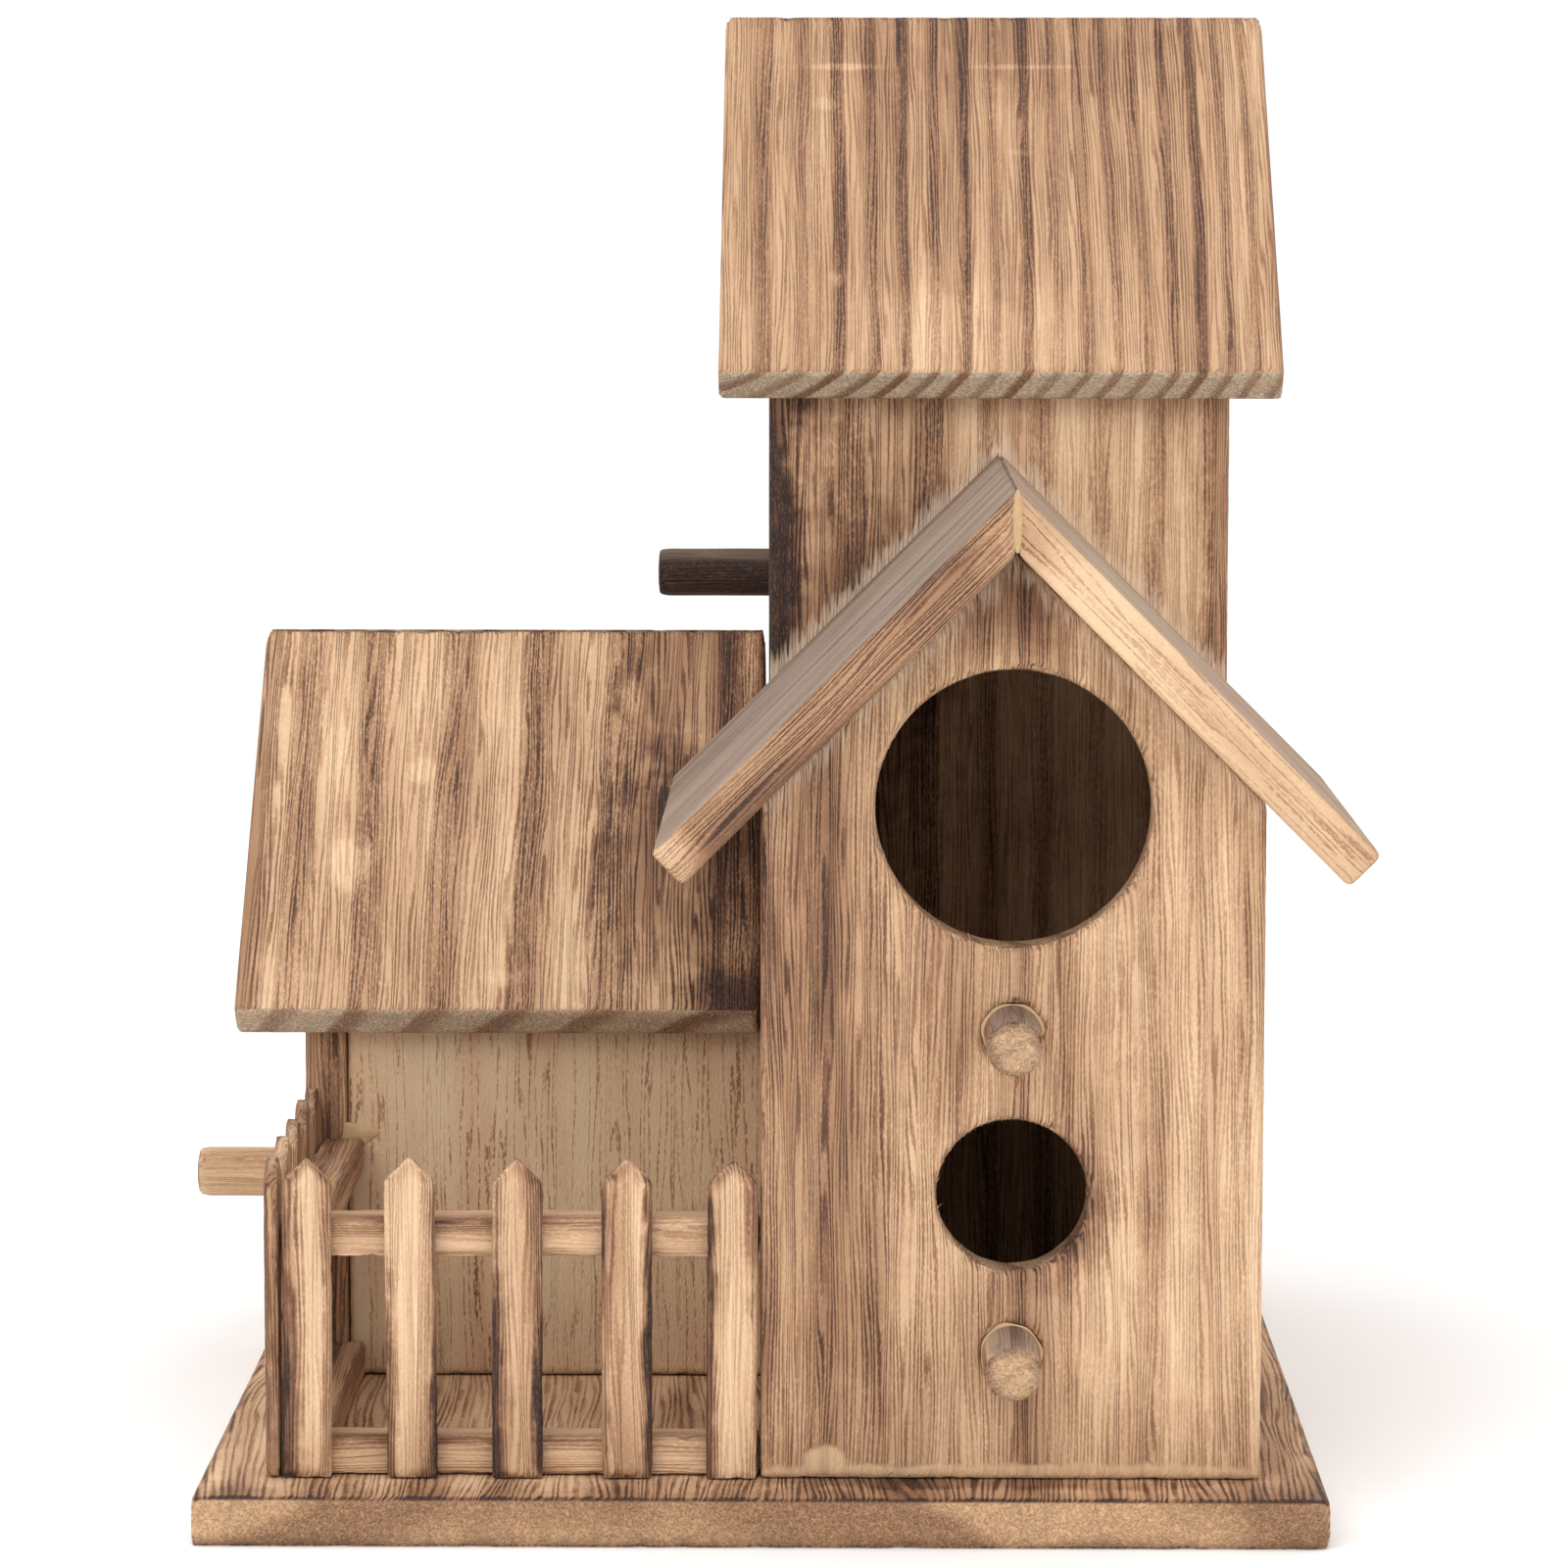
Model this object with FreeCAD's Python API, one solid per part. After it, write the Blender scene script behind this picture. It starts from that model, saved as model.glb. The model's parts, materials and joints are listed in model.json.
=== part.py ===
import FreeCAD, Part
import math
import os

# Three-storey wooden birdhouse on a base board: a gabled front house with two rooms, a taller
# tower behind it, a low wing on the left, and a picket fence round the porch before the wing.
# Millimetres, +Z up, -Y is the front. The origin is the centre of the base board's underside.

# --- boards ---
wall_board = 8.5            # thickness of every wall and inner floor
roof_board = 8.5            # thickness of every roof board
base_thickness = 9.5
base_edge_round = 1.6
roof_edge_round = 1.0
roof_pitch = 45.0           # degrees, the same on all three roofs

# --- plan ---
front_margin = 15.0         # base board showing in front of the front wall
back_margin = 12.0          # base board showing behind the tower
right_margin = 12.0         # base board showing right of the house
left_margin = 12.0          # base board showing left of the wing
house_width = 93.5          # front house and tower, across
front_house_depth = 109.0
tower_depth = 121.0
wing_width = 93.0
wing_setback = 86.5         # front wall's face to the wing's front wall
wing_depth = 116.5
wing_corner_proud = 1.0     # the wing's side wall stands this far before its front wall

# --- front house ---
gable_wall_height = 127.3   # base board to the underside of the roof, at the wall's outer face
gable_side_overhang = 20.0
gable_front_overhang = 13.0
upper_hole_diameter = 51.0
upper_hole_height = 126.3   # centre, above the base board
upper_perch_drop = 41.9     # hole's centre to perch's centre
lower_hole_diameter = 28.0
lower_hole_height = 54.0
lower_perch_drop = 29.9
front_perch_diameter = 11.0
front_perch_reach = 18.0    # length outside the wall
floor_below_perch = 0.4     # gap from the upper perch down to the inner floor

# --- tower ---
tower_rise = 16.5           # top of the gable ridge to the underside of the tower roof, at the front
tower_side_overhang = 10.0
tower_eave_overhang = 12.0
side_hole_diameter = 28.0
side_perch_drop = 29.9
side_perch_diameter = 10.5
tower_perch_reach = 24.5
tower_perch_above_wing = 10.0   # wing ridge to the tower perch's centre

# --- wing ---
wing_roof_clearance = 2.1   # under the gable roof's left end
wing_side_overhang = 13.0
wing_eave_overhang = 12.0
wing_perch_reach = 28.5
wing_perch_height = 31.0    # centre, above the base board
wing_roof_gap = 1.0         # between the wing roof's right end and the tower wall

# --- fence ---
picket_count = 5            # on each of the two sides
picket_width = 9.7
picket_thickness = 3.0
picket_height = 61.5
picket_point = 4.85         # height of the pointed top
picket_forward = 0.8        # the pickets' face stands this far before the front wall
picket_wall_gap = 0.3       # last front picket to the front wall's edge
side_fence_inset = 0.5      # side pickets' face inside the wing wall's outer face
rail_height = 7.6
rail_depth = 8.5
upper_rail_height = 41.6    # base board to the rail's underside

# --- clean-out covers at the back ---
cover_thickness = 5.0
cover_lap = 6.0             # cover over the edge of its opening, sides and bottom
cover_top_lap = 14.0        # cover above its opening, where it turns on its screw
cover_pivot_drop = 7.0      # cover's top edge to the screw
cover_swing_clearance = 3.0  # corner to the base board as the cover turns
cover_gap = 0.3             # cover to wall, and cover to screw head
tower_cover_width = 56.0
tower_cover_height = 58.0
wing_cover_width = 44.0
wing_cover_height = 42.0
screw_diameter = 3.0
screw_running_clearance = 0.05  # radial, in the cover
screw_bite = 7.0            # length in the wall
screw_head_diameter = 6.5
screw_head_height = 2.0
screw_slot_width = 0.8
screw_slot_depth = 0.9

# --- brads ---
brad_diameter = 1.2
brad_length = 22.0
brad_end_distance = 14.0    # first brad to the end of its board

perch_end_chamfer = 0.7

# --- worked out ---
slope = math.tan(math.radians(roof_pitch))
roof_rise = roof_board / math.cos(math.radians(roof_pitch))     # roof board measured upright
cut_in = roof_board * math.sin(math.radians(roof_pitch))        # square-cut eave, inwards
cut_down = roof_board * math.cos(math.radians(roof_pitch))      # square-cut eave, downwards

base_width = left_margin + wing_width + house_width + right_margin
base_depth = front_margin + front_house_depth + tower_depth + back_margin
deck = base_thickness

house_right = base_width / 2 - right_margin
house_left = house_right - house_width
house_middle = (house_left + house_right) / 2
wing_left = house_left - wing_width
front_face = -base_depth / 2 + front_margin
tower_face = front_face + front_house_depth
tower_back = tower_face + tower_depth
tower_middle = (tower_face + tower_back) / 2
wing_face = front_face + wing_setback
wing_back = wing_face + wing_depth
wing_middle = (wing_face + wing_back) / 2

gable_ridge = gable_wall_height + house_width / 2 * slope + roof_rise
gable_eave = gable_wall_height + roof_rise - gable_side_overhang * slope
tower_wall_height = gable_ridge + tower_rise
roof_over_wing = (front_house_depth - wing_setback) * slope + roof_rise
wing_wall_height = gable_eave - cut_down - wing_roof_clearance - roof_over_wing
wing_ridge = wing_wall_height + wing_depth / 2 * slope + roof_rise

upper_perch_height = upper_hole_height - upper_perch_drop
lower_perch_height = lower_hole_height - lower_perch_drop
inner_floor_top = upper_perch_height - front_perch_diameter / 2 - floor_below_perch
tower_perch_height = wing_ridge + tower_perch_above_wing
tower_hole_height = tower_perch_height + side_perch_drop
wing_hole_height = wing_perch_height + side_perch_drop

fence_face = front_face - picket_forward
fence_back = fence_face + picket_thickness
fence_left = wing_left + side_fence_inset
fence_inner = fence_left + picket_thickness

AXIS_X = FreeCAD.Vector(1, 0, 0)
AXIS_Y = FreeCAD.Vector(0, 1, 0)
AXIS_Z = FreeCAD.Vector(0, 0, 1)


def block(x_range, y_range, z_range):
    """A square-edged board between two planes on each axis, heights above the base board."""
    corner = FreeCAD.Vector(x_range[0], y_range[0], deck + z_range[0])
    length = x_range[1] - x_range[0]
    width = y_range[1] - y_range[0]
    return Part.makeBox(length, width, z_range[1] - z_range[0], corner)


def board_across_y(outline, y_start, y_end):
    """A board whose outline is drawn in X and Z, with its thickness along Y."""
    points = [FreeCAD.Vector(x, y_start, deck + z) for x, z in outline]
    face = Part.Face(Part.makePolygon(points + [points[0]]))
    return face.extrude(AXIS_Y * (y_end - y_start))


def board_across_x(outline, x_start, x_end):
    """A board whose outline is drawn in Y and Z, with its thickness along X."""
    points = [FreeCAD.Vector(x_start, y, deck + z) for y, z in outline]
    face = Part.Face(Part.makePolygon(points + [points[0]]))
    return face.extrude(AXIS_X * (x_end - x_start))


def rod(diameter, start, direction, length):
    """A round rod from a point whose height is above the base board."""
    origin = FreeCAD.Vector(start[0], start[1], deck + start[2])
    return Part.makeCylinder(diameter / 2, length, origin, direction)


def gable_outline(low, high, foot, wall_height):
    """A wall with a pointed top that follows the roof's underside."""
    middle = (low + high) / 2
    peak = wall_height + (high - low) / 2 * slope
    return [(low, foot), (high, foot), (high, wall_height), (middle, peak), (low, wall_height)]


def roof_outline(middle, half_span, wall_height, overhang, side):
    """One roof board seen from its end: mitred at the ridge, cut square at the eave."""
    ridge = wall_height + half_span * slope + roof_rise
    reach = half_span + overhang
    eave = ridge - reach * slope
    return [
        (middle, ridge),
        (middle + side * reach, eave),
        (middle + side * (reach - cut_in), eave - cut_down),
        (middle, ridge - roof_rise),
    ]


def soften(board, radius, keep_sharp):
    """Round the edges of a board, except those where it meets another piece."""
    chosen = [edge for edge in board.Edges if not keep_sharp(edge.CenterOfMass)]
    return board.makeFillet(radius, chosen)


def drilled(board, tools):
    """A board with the given solids taken out of it."""
    for tool in tools:
        board = board.cut(tool)
    return board


# --- perches ---
def perch(diameter, start, direction, length):
    """A dowel with a chamfered outer end, glued in a bore through its wall."""
    dowel = rod(diameter, start, direction, length)
    tip = FreeCAD.Vector(start[0], start[1], deck + start[2]) + direction * length
    rim = [edge for edge in dowel.Edges if (edge.CenterOfMass - tip).Length < diameter / 10]
    return dowel.makeChamfer(perch_end_chamfer, rim)


def front_perch(height):
    start = (house_middle, front_face + wall_board, height)
    return perch(front_perch_diameter, start, -AXIS_Y, wall_board + front_perch_reach)


def side_perch(wall_x, middle, height, reach):
    start = (wall_x + wall_board, middle, height)
    return perch(side_perch_diameter, start, -AXIS_X, wall_board + reach)


perches = {
    "upper_front_perch": front_perch(upper_perch_height),
    "lower_front_perch": front_perch(lower_perch_height),
    "tower_perch": side_perch(house_left, tower_middle, tower_perch_height, tower_perch_reach),
    "wing_perch": side_perch(wing_left, wing_middle, wing_perch_height, wing_perch_reach),
}


def front_doorway(diameter, height):
    return rod(diameter, (house_middle, front_face - wall_board, height), AXIS_Y, 3 * wall_board)


def side_doorway(wall_x, middle, height):
    return rod(side_hole_diameter, (wall_x - wall_board, middle, height), AXIS_X, 3 * wall_board)


# --- base board ---
def base_board():
    board = Part.makeBox(
        base_width, base_depth, base_thickness, FreeCAD.Vector(-base_width / 2, -base_depth / 2, 0)
    )
    return soften(board, base_edge_round, lambda middle: middle.z < base_thickness / 4)


# --- front house ---
def front_wall():
    outline = gable_outline(house_left, house_right, 0, gable_wall_height)
    board = board_across_y(outline, front_face, front_face + wall_board)
    doorways = [
        front_doorway(upper_hole_diameter, upper_hole_height),
        front_doorway(lower_hole_diameter, lower_hole_height),
    ]
    return drilled(board, doorways + [perches["upper_front_perch"], perches["lower_front_perch"]])


def front_house_side_wall(outer, side):
    """A side wall behind the front wall, its top edge planed to the roof's slope."""
    inner = outer - side * wall_board
    inner_height = gable_wall_height + wall_board * slope
    outline = [(outer, 0), (inner, 0), (inner, inner_height), (outer, gable_wall_height)]
    return board_across_y(outline, front_face + wall_board, tower_face)


def inner_floor():
    x_range = (house_left + wall_board, house_right - wall_board)
    y_range = (front_face + wall_board, tower_face)
    return block(x_range, y_range, (inner_floor_top - wall_board, inner_floor_top))


def gable_roof_board(side):
    outline = roof_outline(
        house_middle, house_width / 2, gable_wall_height, gable_side_overhang, side
    )
    board = board_across_y(outline, front_face - gable_front_overhang, tower_face)
    near_ridge = house_width / 8

    def meets_another(middle):
        at_ridge = abs(middle.x - house_middle) < near_ridge
        at_tower = middle.y > tower_face - roof_edge_round
        return at_ridge or at_tower

    return soften(board, roof_edge_round, meets_another)


# --- tower ---
def end_wall(face, thickness_inwards, x_range, wall_height):
    """A tower or wing wall under an eave, its top planed to the roof's slope."""
    inner = face + thickness_inwards
    inner_height = wall_height + abs(thickness_inwards) * slope
    outline = [(face, 0), (inner, 0), (inner, inner_height), (face, wall_height)]
    return board_across_x(outline, x_range[0], x_range[1])


def tower_side_wall(outer, side):
    outline = gable_outline(tower_face, tower_back, 0, tower_wall_height)
    board = board_across_x(outline, outer, outer - side * wall_board)
    inside = block(
        (house_left - wall_board, house_right + wall_board),
        (tower_face + wall_board, tower_back - wall_board),
        (0, tower_wall_height + tower_depth),
    )
    return board.common(inside)


def ridge_roof_board(middle, half_span, wall_height, overhang, side, x_range, sharp_end):
    """A roof board whose ridge runs along X. sharp_end is the end that meets a wall."""
    outline = roof_outline(middle, half_span, wall_height, overhang, side)
    board = board_across_x(outline, x_range[0], x_range[1])
    near_ridge = half_span / 4

    def meets_another(centre):
        at_ridge = abs(centre.y - middle) < near_ridge
        at_wall = sharp_end is not None and abs(centre.x - sharp_end) < roof_edge_round
        return at_ridge or at_wall

    return soften(board, roof_edge_round, meets_another)


def tower_roof_board(side):
    x_range = (house_left - tower_side_overhang, house_right + tower_side_overhang)
    return ridge_roof_board(
        tower_middle, tower_depth / 2, tower_wall_height, tower_eave_overhang, side, x_range, None
    )


# --- wing ---
def wing_left_wall():
    front = wing_face - wing_corner_proud
    peak = wing_wall_height + wing_depth / 2 * slope
    outline = [
        (front, 0),
        (wing_back, 0),
        (wing_back, wing_wall_height),
        (wing_middle, peak),
        (front, wing_wall_height - wing_corner_proud * slope),
    ]
    board = board_across_x(outline, wing_left, wing_left + wall_board)
    return drilled(board, [side_doorway(wing_left, wing_middle, wing_hole_height), perches["wing_perch"]])


def wing_roof_board(side):
    x_range = (wing_left - wing_side_overhang, house_left - wing_roof_gap)
    return ridge_roof_board(
        wing_middle, wing_depth / 2, wing_wall_height, wing_eave_overhang, side, x_range, x_range[1]
    )


# --- fence ---
def picket_outline(middle):
    half = picket_width / 2
    shoulder = picket_height - picket_point
    return [
        (middle - half, 0),
        (middle + half, 0),
        (middle + half, shoulder),
        (middle, picket_height),
        (middle - half, shoulder),
    ]


def evenly_spaced(first, last, count):
    step = (last - first) / (count - 1)
    return [first + step * index for index in range(count)]


def fence():
    pieces = {}
    half = picket_width / 2
    first_front = fence_inner + half
    last_front = house_left - picket_wall_gap - half
    for index, middle in enumerate(evenly_spaced(first_front, last_front, picket_count)):
        picket = board_across_y(picket_outline(middle), fence_face, fence_back)
        pieces[f"front_picket_{index + 1}"] = picket
    first_side = fence_face + half
    last_side = wing_face - wing_corner_proud - half
    for index, middle in enumerate(evenly_spaced(first_side, last_side, picket_count)):
        picket = board_across_x(picket_outline(middle), fence_left, fence_inner)
        pieces[f"side_picket_{index + 1}"] = picket
    for level, foot in (("lower", 0), ("upper", upper_rail_height)):
        z_range = (foot, foot + rail_height)
        front_rail = block((fence_inner, house_left), (fence_back, fence_back + rail_depth), z_range)
        side_rail = block(
            (fence_inner, fence_inner + rail_depth), (fence_back + rail_depth, wing_face), z_range
        )
        pieces[f"{level}_front_rail"] = front_rail
        pieces[f"{level}_side_rail"] = side_rail.cut(wing_left_wall())
    return pieces


# --- clean-out covers ---
def cover_pivot_height(width, height):
    """High enough for the cover's lower corners to turn past the base board."""
    return math.hypot(width / 2, height - cover_pivot_drop) + cover_swing_clearance


def clean_out(middle, back, width, height):
    """The opening to cut, the cover that turns aside from it, and the cover's screw."""
    pivot = cover_pivot_height(width, height)
    top = pivot + cover_pivot_drop
    opening = block(
        (middle - width / 2 + cover_lap, middle + width / 2 - cover_lap),
        (back - 2 * wall_board, back + wall_board),
        (top - height + cover_lap, top - cover_top_lap),
    )
    cover_y = (back + cover_gap, back + cover_gap + cover_thickness)
    cover = block((middle - width / 2, middle + width / 2), cover_y, (top - height, top))
    head_y = cover_y[1] + cover_gap
    shank_length = head_y - back + screw_bite
    shank = rod(screw_diameter, (middle, back - screw_bite, pivot), AXIS_Y, shank_length)
    head = rod(screw_head_diameter, (middle, head_y, pivot), AXIS_Y, screw_head_height)
    rim = [edge for edge in head.Edges if edge.CenterOfMass.y > head_y + screw_head_height * 0.9]
    head = head.makeFillet(screw_head_height * 0.6, rim)
    slot = block(
        (middle - screw_head_diameter, middle + screw_head_diameter),
        (head_y + screw_head_height - screw_slot_depth, head_y + 2 * screw_head_height),
        (pivot - screw_slot_width / 2, pivot + screw_slot_width / 2),
    )
    clearance_hole = rod(
        screw_diameter + 2 * screw_running_clearance, (middle, back, pivot), AXIS_Y, shank_length
    )
    return opening, cover.cut(clearance_hole), shank.fuse(head.cut(slot))


# --- brads ---
def base_brads():
    """Brads driven up through the base board into the feet of the walls."""
    x_lines = [house_left + wall_board / 2, house_right - wall_board / 2]
    places = []
    for y in (front_face + wall_board, tower_face + wall_board):
        for x in x_lines:
            places.append((x, y + brad_end_distance))
    for x in x_lines:
        places.append((x, tower_face - brad_end_distance))
        places.append((x, tower_back - wall_board - brad_end_distance))
    for y in (wing_face + brad_end_distance, wing_back - brad_end_distance):
        places.append((wing_left + wall_board / 2, y))
    brads = [rod(brad_diameter, (x, y, -deck), AXIS_Z, brad_length) for x, y in places]
    return Part.makeCompound(brads)


def back_brads():
    """Brads driven forward through the tower's back wall into its side walls."""
    brads = []
    heights = evenly_spaced(brad_end_distance, tower_wall_height - brad_end_distance, 4)
    for x in (house_left + wall_board / 2, house_right - wall_board / 2):
        for height in heights:
            brads.append(rod(brad_diameter, (x, tower_back, height), -AXIS_Y, brad_length))
    return Part.makeCompound(brads)


# --- assembly ---
tower_opening, tower_cover, tower_screw = clean_out(
    house_middle, tower_back, tower_cover_width, tower_cover_height
)
wing_room_middle = (wing_left + wall_board + house_left) / 2
wing_opening, wing_cover, wing_screw = clean_out(
    wing_room_middle, wing_back, wing_cover_width, wing_cover_height
)
base_pins = base_brads()
back_pins = back_brads()

tower_x = (house_left, house_right)
wing_x = (wing_left + wall_board, house_left)
tower_left_doorway = side_doorway(house_left, tower_middle, tower_hole_height)

nodes = {
    "base_board": drilled(base_board(), base_pins.Solids),
    "front_wall": front_wall(),
    "front_house_left_wall": drilled(front_house_side_wall(house_left, -1), base_pins.Solids),
    "front_house_right_wall": drilled(front_house_side_wall(house_right, 1), base_pins.Solids),
    "inner_floor": inner_floor(),
    "gable_roof_left": gable_roof_board(-1),
    "gable_roof_right": gable_roof_board(1),
    "tower_front_wall": end_wall(tower_face, wall_board, tower_x, tower_wall_height),
    "tower_left_wall": drilled(
        tower_side_wall(house_left, -1),
        [tower_left_doorway, perches["tower_perch"]] + base_pins.Solids + back_pins.Solids,
    ),
    "tower_right_wall": drilled(
        tower_side_wall(house_right, 1), base_pins.Solids + back_pins.Solids
    ),
    "tower_back_wall": drilled(
        end_wall(tower_back, -wall_board, tower_x, tower_wall_height),
        [tower_opening, tower_screw] + back_pins.Solids,
    ),
    "tower_roof_front": tower_roof_board(-1),
    "tower_roof_back": tower_roof_board(1),
    "wing_front_wall": end_wall(wing_face, wall_board, wing_x, wing_wall_height),
    "wing_left_wall": drilled(wing_left_wall(), base_pins.Solids),
    "wing_back_wall": drilled(
        end_wall(wing_back, -wall_board, wing_x, wing_wall_height), [wing_opening, wing_screw]
    ),
    "wing_roof_front": wing_roof_board(-1),
    "wing_roof_back": wing_roof_board(1),
    "tower_cleanout_cover": tower_cover,
    "tower_cover_screw": tower_screw,
    "wing_cleanout_cover": wing_cover,
    "wing_cover_screw": wing_screw,
    "base_brads": base_pins,
    "back_brads": back_pins,
}
nodes.update(perches)
nodes.update(fence())

os.makedirs("parts", exist_ok=True)
for name, shape in nodes.items():
    shape.exportStep(f"parts/{name}.step")
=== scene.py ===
import json
import math

import bmesh
import bpy
from mathutils import Euler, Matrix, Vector


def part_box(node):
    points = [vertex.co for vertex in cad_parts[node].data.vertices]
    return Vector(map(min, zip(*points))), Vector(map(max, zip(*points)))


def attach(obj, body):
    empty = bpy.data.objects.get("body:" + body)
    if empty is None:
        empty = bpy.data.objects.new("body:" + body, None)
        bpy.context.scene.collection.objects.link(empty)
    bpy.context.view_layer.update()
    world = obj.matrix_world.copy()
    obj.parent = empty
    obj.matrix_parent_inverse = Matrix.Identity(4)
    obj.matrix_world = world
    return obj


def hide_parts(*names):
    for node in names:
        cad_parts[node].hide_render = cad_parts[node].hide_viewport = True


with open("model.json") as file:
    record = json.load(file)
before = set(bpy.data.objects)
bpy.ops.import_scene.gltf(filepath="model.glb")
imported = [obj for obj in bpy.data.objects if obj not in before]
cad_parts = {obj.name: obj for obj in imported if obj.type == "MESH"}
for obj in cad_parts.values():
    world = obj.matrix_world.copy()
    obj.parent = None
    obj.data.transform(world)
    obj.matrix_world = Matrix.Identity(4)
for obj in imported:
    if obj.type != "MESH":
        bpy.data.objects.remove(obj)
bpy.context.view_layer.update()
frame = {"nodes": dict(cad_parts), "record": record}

bl_info = {
    "name": "Scorched Birdhouse",
    "version": (1, 0, 0),
    "blender": (4, 5, 0),
    "location": "3D View > Sidebar > Birdhouse",
    "description": "Builds the boards, fence, perches and finishes of a scorched wooden birdhouse",
    "category": "Add Mesh",
}

MM = 0.001
HOUSE = "house"
EDGE = "edge_distance"
UP = Vector((0, 0, 1))

# How a board lies: the turn from its own frame (X across, Y through, Z along the grain).
ROOF_PITCH = 45.0
LIES = {
    "facing_front": (0, 0, 0),
    "facing_side": (0, 0, 90),
    "front_slope": (-ROOF_PITCH, 0, 0),
    "back_slope": (ROOF_PITCH, 0, 0),
    "left_slope": (0, ROOF_PITCH, 0),
    "right_slope": (0, -ROOF_PITCH, 0),
    "front_to_back": (-90, 0, 0),
    "left_to_right": (0, 90, 0),
}


def srgb(red, green, blue):
    """A colour given in 0 to 255 screen values, as linear light."""
    def channel(value):
        value /= 255
        return value / 12.92 if value <= 0.04045 else ((value + 0.055) / 1.055) ** 2.4
    return (channel(red), channel(green), channel(blue), 1.0)


# --------------------------------------------------------------------------- settings

def colour_setting(name, description, *screen_values):
    return bpy.props.FloatVectorProperty(
        name=name, description=description, subtype="COLOR", size=4, min=0, max=1,
        default=srgb(*screen_values))


def length_setting(name, description, default, least=0.0):
    return bpy.props.FloatProperty(
        name=name, description=description, subtype="DISTANCE", unit="LENGTH", default=default,
        min=least)


class BirdhouseFinish(bpy.types.PropertyGroup):
    """Colours and sizes of the wood's finish."""
    cream: colour_setting("Cream", "Wood the flame hardly touched", 228, 195, 158)
    tan: colour_setting("Tan", "Lightly toasted wood", 202, 165, 131)
    toasted: colour_setting("Toasted", "Well toasted wood", 167, 129, 98)
    brown: colour_setting("Brown", "Scorched wood", 131, 94, 70)
    umber: colour_setting("Umber", "Deeply scorched wood", 92, 64, 49)
    char: colour_setting("Char", "Burnt black", 52, 40, 35)
    plain: colour_setting("Plain", "Wood the flame never reached", 212, 186, 152)
    # Painted sheen: this grey, laid on upward faces, stands in for top light falling on them
    top_sheen_grey: colour_setting("Weathered", "Greyed upper faces of the gable roof", 156, 138, 123)
    end_grain: colour_setting("End grain", "Woolly end grain", 204, 182, 155)
    warm_end: colour_setting("Warm end grain", "End grain browned by the flame", 214, 172, 132)
    end_ring: colour_setting("End grain ring", "Late wood seen on end grain", 138, 98, 70)
    fibre: colour_setting("Fibre", "Raised pale fibres along a joint", 222, 196, 170)
    glue: colour_setting("Glue", "Wood sealed by a smear of glue, so it stayed pale", 212, 178, 140)
    edge_wear: length_setting("Edge wear", "Deepest dent along an edge", 0.55 * MM)
    relief: length_setting("Relief", "Depth of the brushed surface's unevenness", 0.16 * MM)
    fine_cell: length_setting("Fine mesh", "Mesh size on boards seen close up", 0.85 * MM, 0.0002)
    plain_cell: length_setting(
        "Plain mesh", "Mesh size on boards at the back and inside", 1.3 * MM, 0.0002)


class BirdhouseSizes(bpy.types.PropertyGroup):
    """Sizes of the small pieces that the frame doesn't hold."""
    picket_unevenness: length_setting(
        "Picket unevenness", "How far a picket strays along its row", 0.7 * MM)
    picket_lean: bpy.props.FloatProperty(
        name="Picket lean", description="Most that a picket leans", subtype="ANGLE",
        unit="ROTATION", default=math.radians(0.5), min=0)
    fibre_length: length_setting("Fibre length", "Longest torn fibre at a doorway", 1.7 * MM)
    fibre_count: bpy.props.IntProperty(
        name="Fibres", description="Torn fibres round each doorway", default=70, min=0)


# --------------------------------------------------------------------------- node helpers

def add(tree, kind, inputs=None, **settings):
    """A node with its settings, and its inputs either linked or given a value."""
    node = tree.nodes.new(kind)
    for key, value in settings.items():
        setattr(node, key, value)
    for key, value in (inputs or {}).items():
        feed(tree, node.inputs[key], value)
    return node


def feed(tree, socket, value):
    if isinstance(value, bpy.types.NodeSocket):
        tree.links.new(value, socket)
    else:
        socket.default_value = value


def maths(tree, operation, first, second=0.0, clamp=False):
    return add(tree, "ShaderNodeMath", {0: first, 1: second}, operation=operation,
               use_clamp=clamp).outputs[0]


def vectors(tree, operation, first, second=(0, 0, 0)):
    node = add(tree, "ShaderNodeVectorMath", {0: first, 1: second}, operation=operation)
    return node.outputs["Value" if operation in {"DOT_PRODUCT", "LENGTH"} else "Vector"]


def combined(tree, parts):
    """A vector from its parts, given by number, with the others zero."""
    return add(tree, "ShaderNodeCombineXYZ", parts).outputs[0]


def scaled(tree, vector, factor):
    return add(tree, "ShaderNodeVectorMath", {0: vector, "Scale": factor},
               operation="SCALE").outputs["Vector"]


def ranged(tree, value, low, high, to_low=0.0, to_high=1.0):
    """A value eased from one range to another, and held at the ends."""
    return add(tree, "ShaderNodeMapRange", {
        "Value": value, "From Min": low, "From Max": high, "To Min": to_low, "To Max": to_high,
    }, interpolation_type="SMOOTHSTEP").outputs["Result"]


def noise(tree, vector, scale, detail=2.0, roughness=0.5, output="Fac"):
    return add(tree, "ShaderNodeTexNoise", {
        "Vector": vector, "Scale": scale, "Detail": detail, "Roughness": roughness,
    }).outputs["Color" if output == "Color" else 0]


def blend(tree, factor, first, second, mode="MIX"):
    node = add(tree, "ShaderNodeMix", data_type="RGBA", blend_type=mode)
    for name, value in (("Factor_Float", factor), ("A_Color", first), ("B_Color", second)):
        socket = next(s for s in node.inputs if s.identifier == name)
        feed(tree, socket, value)
    return next(s for s in node.outputs if s.identifier == "Result_Color")


def ramp(tree, value, stops):
    """A colour ramp through (position, colour) stops."""
    node = add(tree, "ShaderNodeValToRGB", {"Fac": value})
    band = node.color_ramp.elements
    while len(band) < len(stops):
        band.new(0.5)
    for element, (position, colour) in zip(band, stops):
        element.position = position
        element.color = colour
    return node.outputs["Color"]


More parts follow.
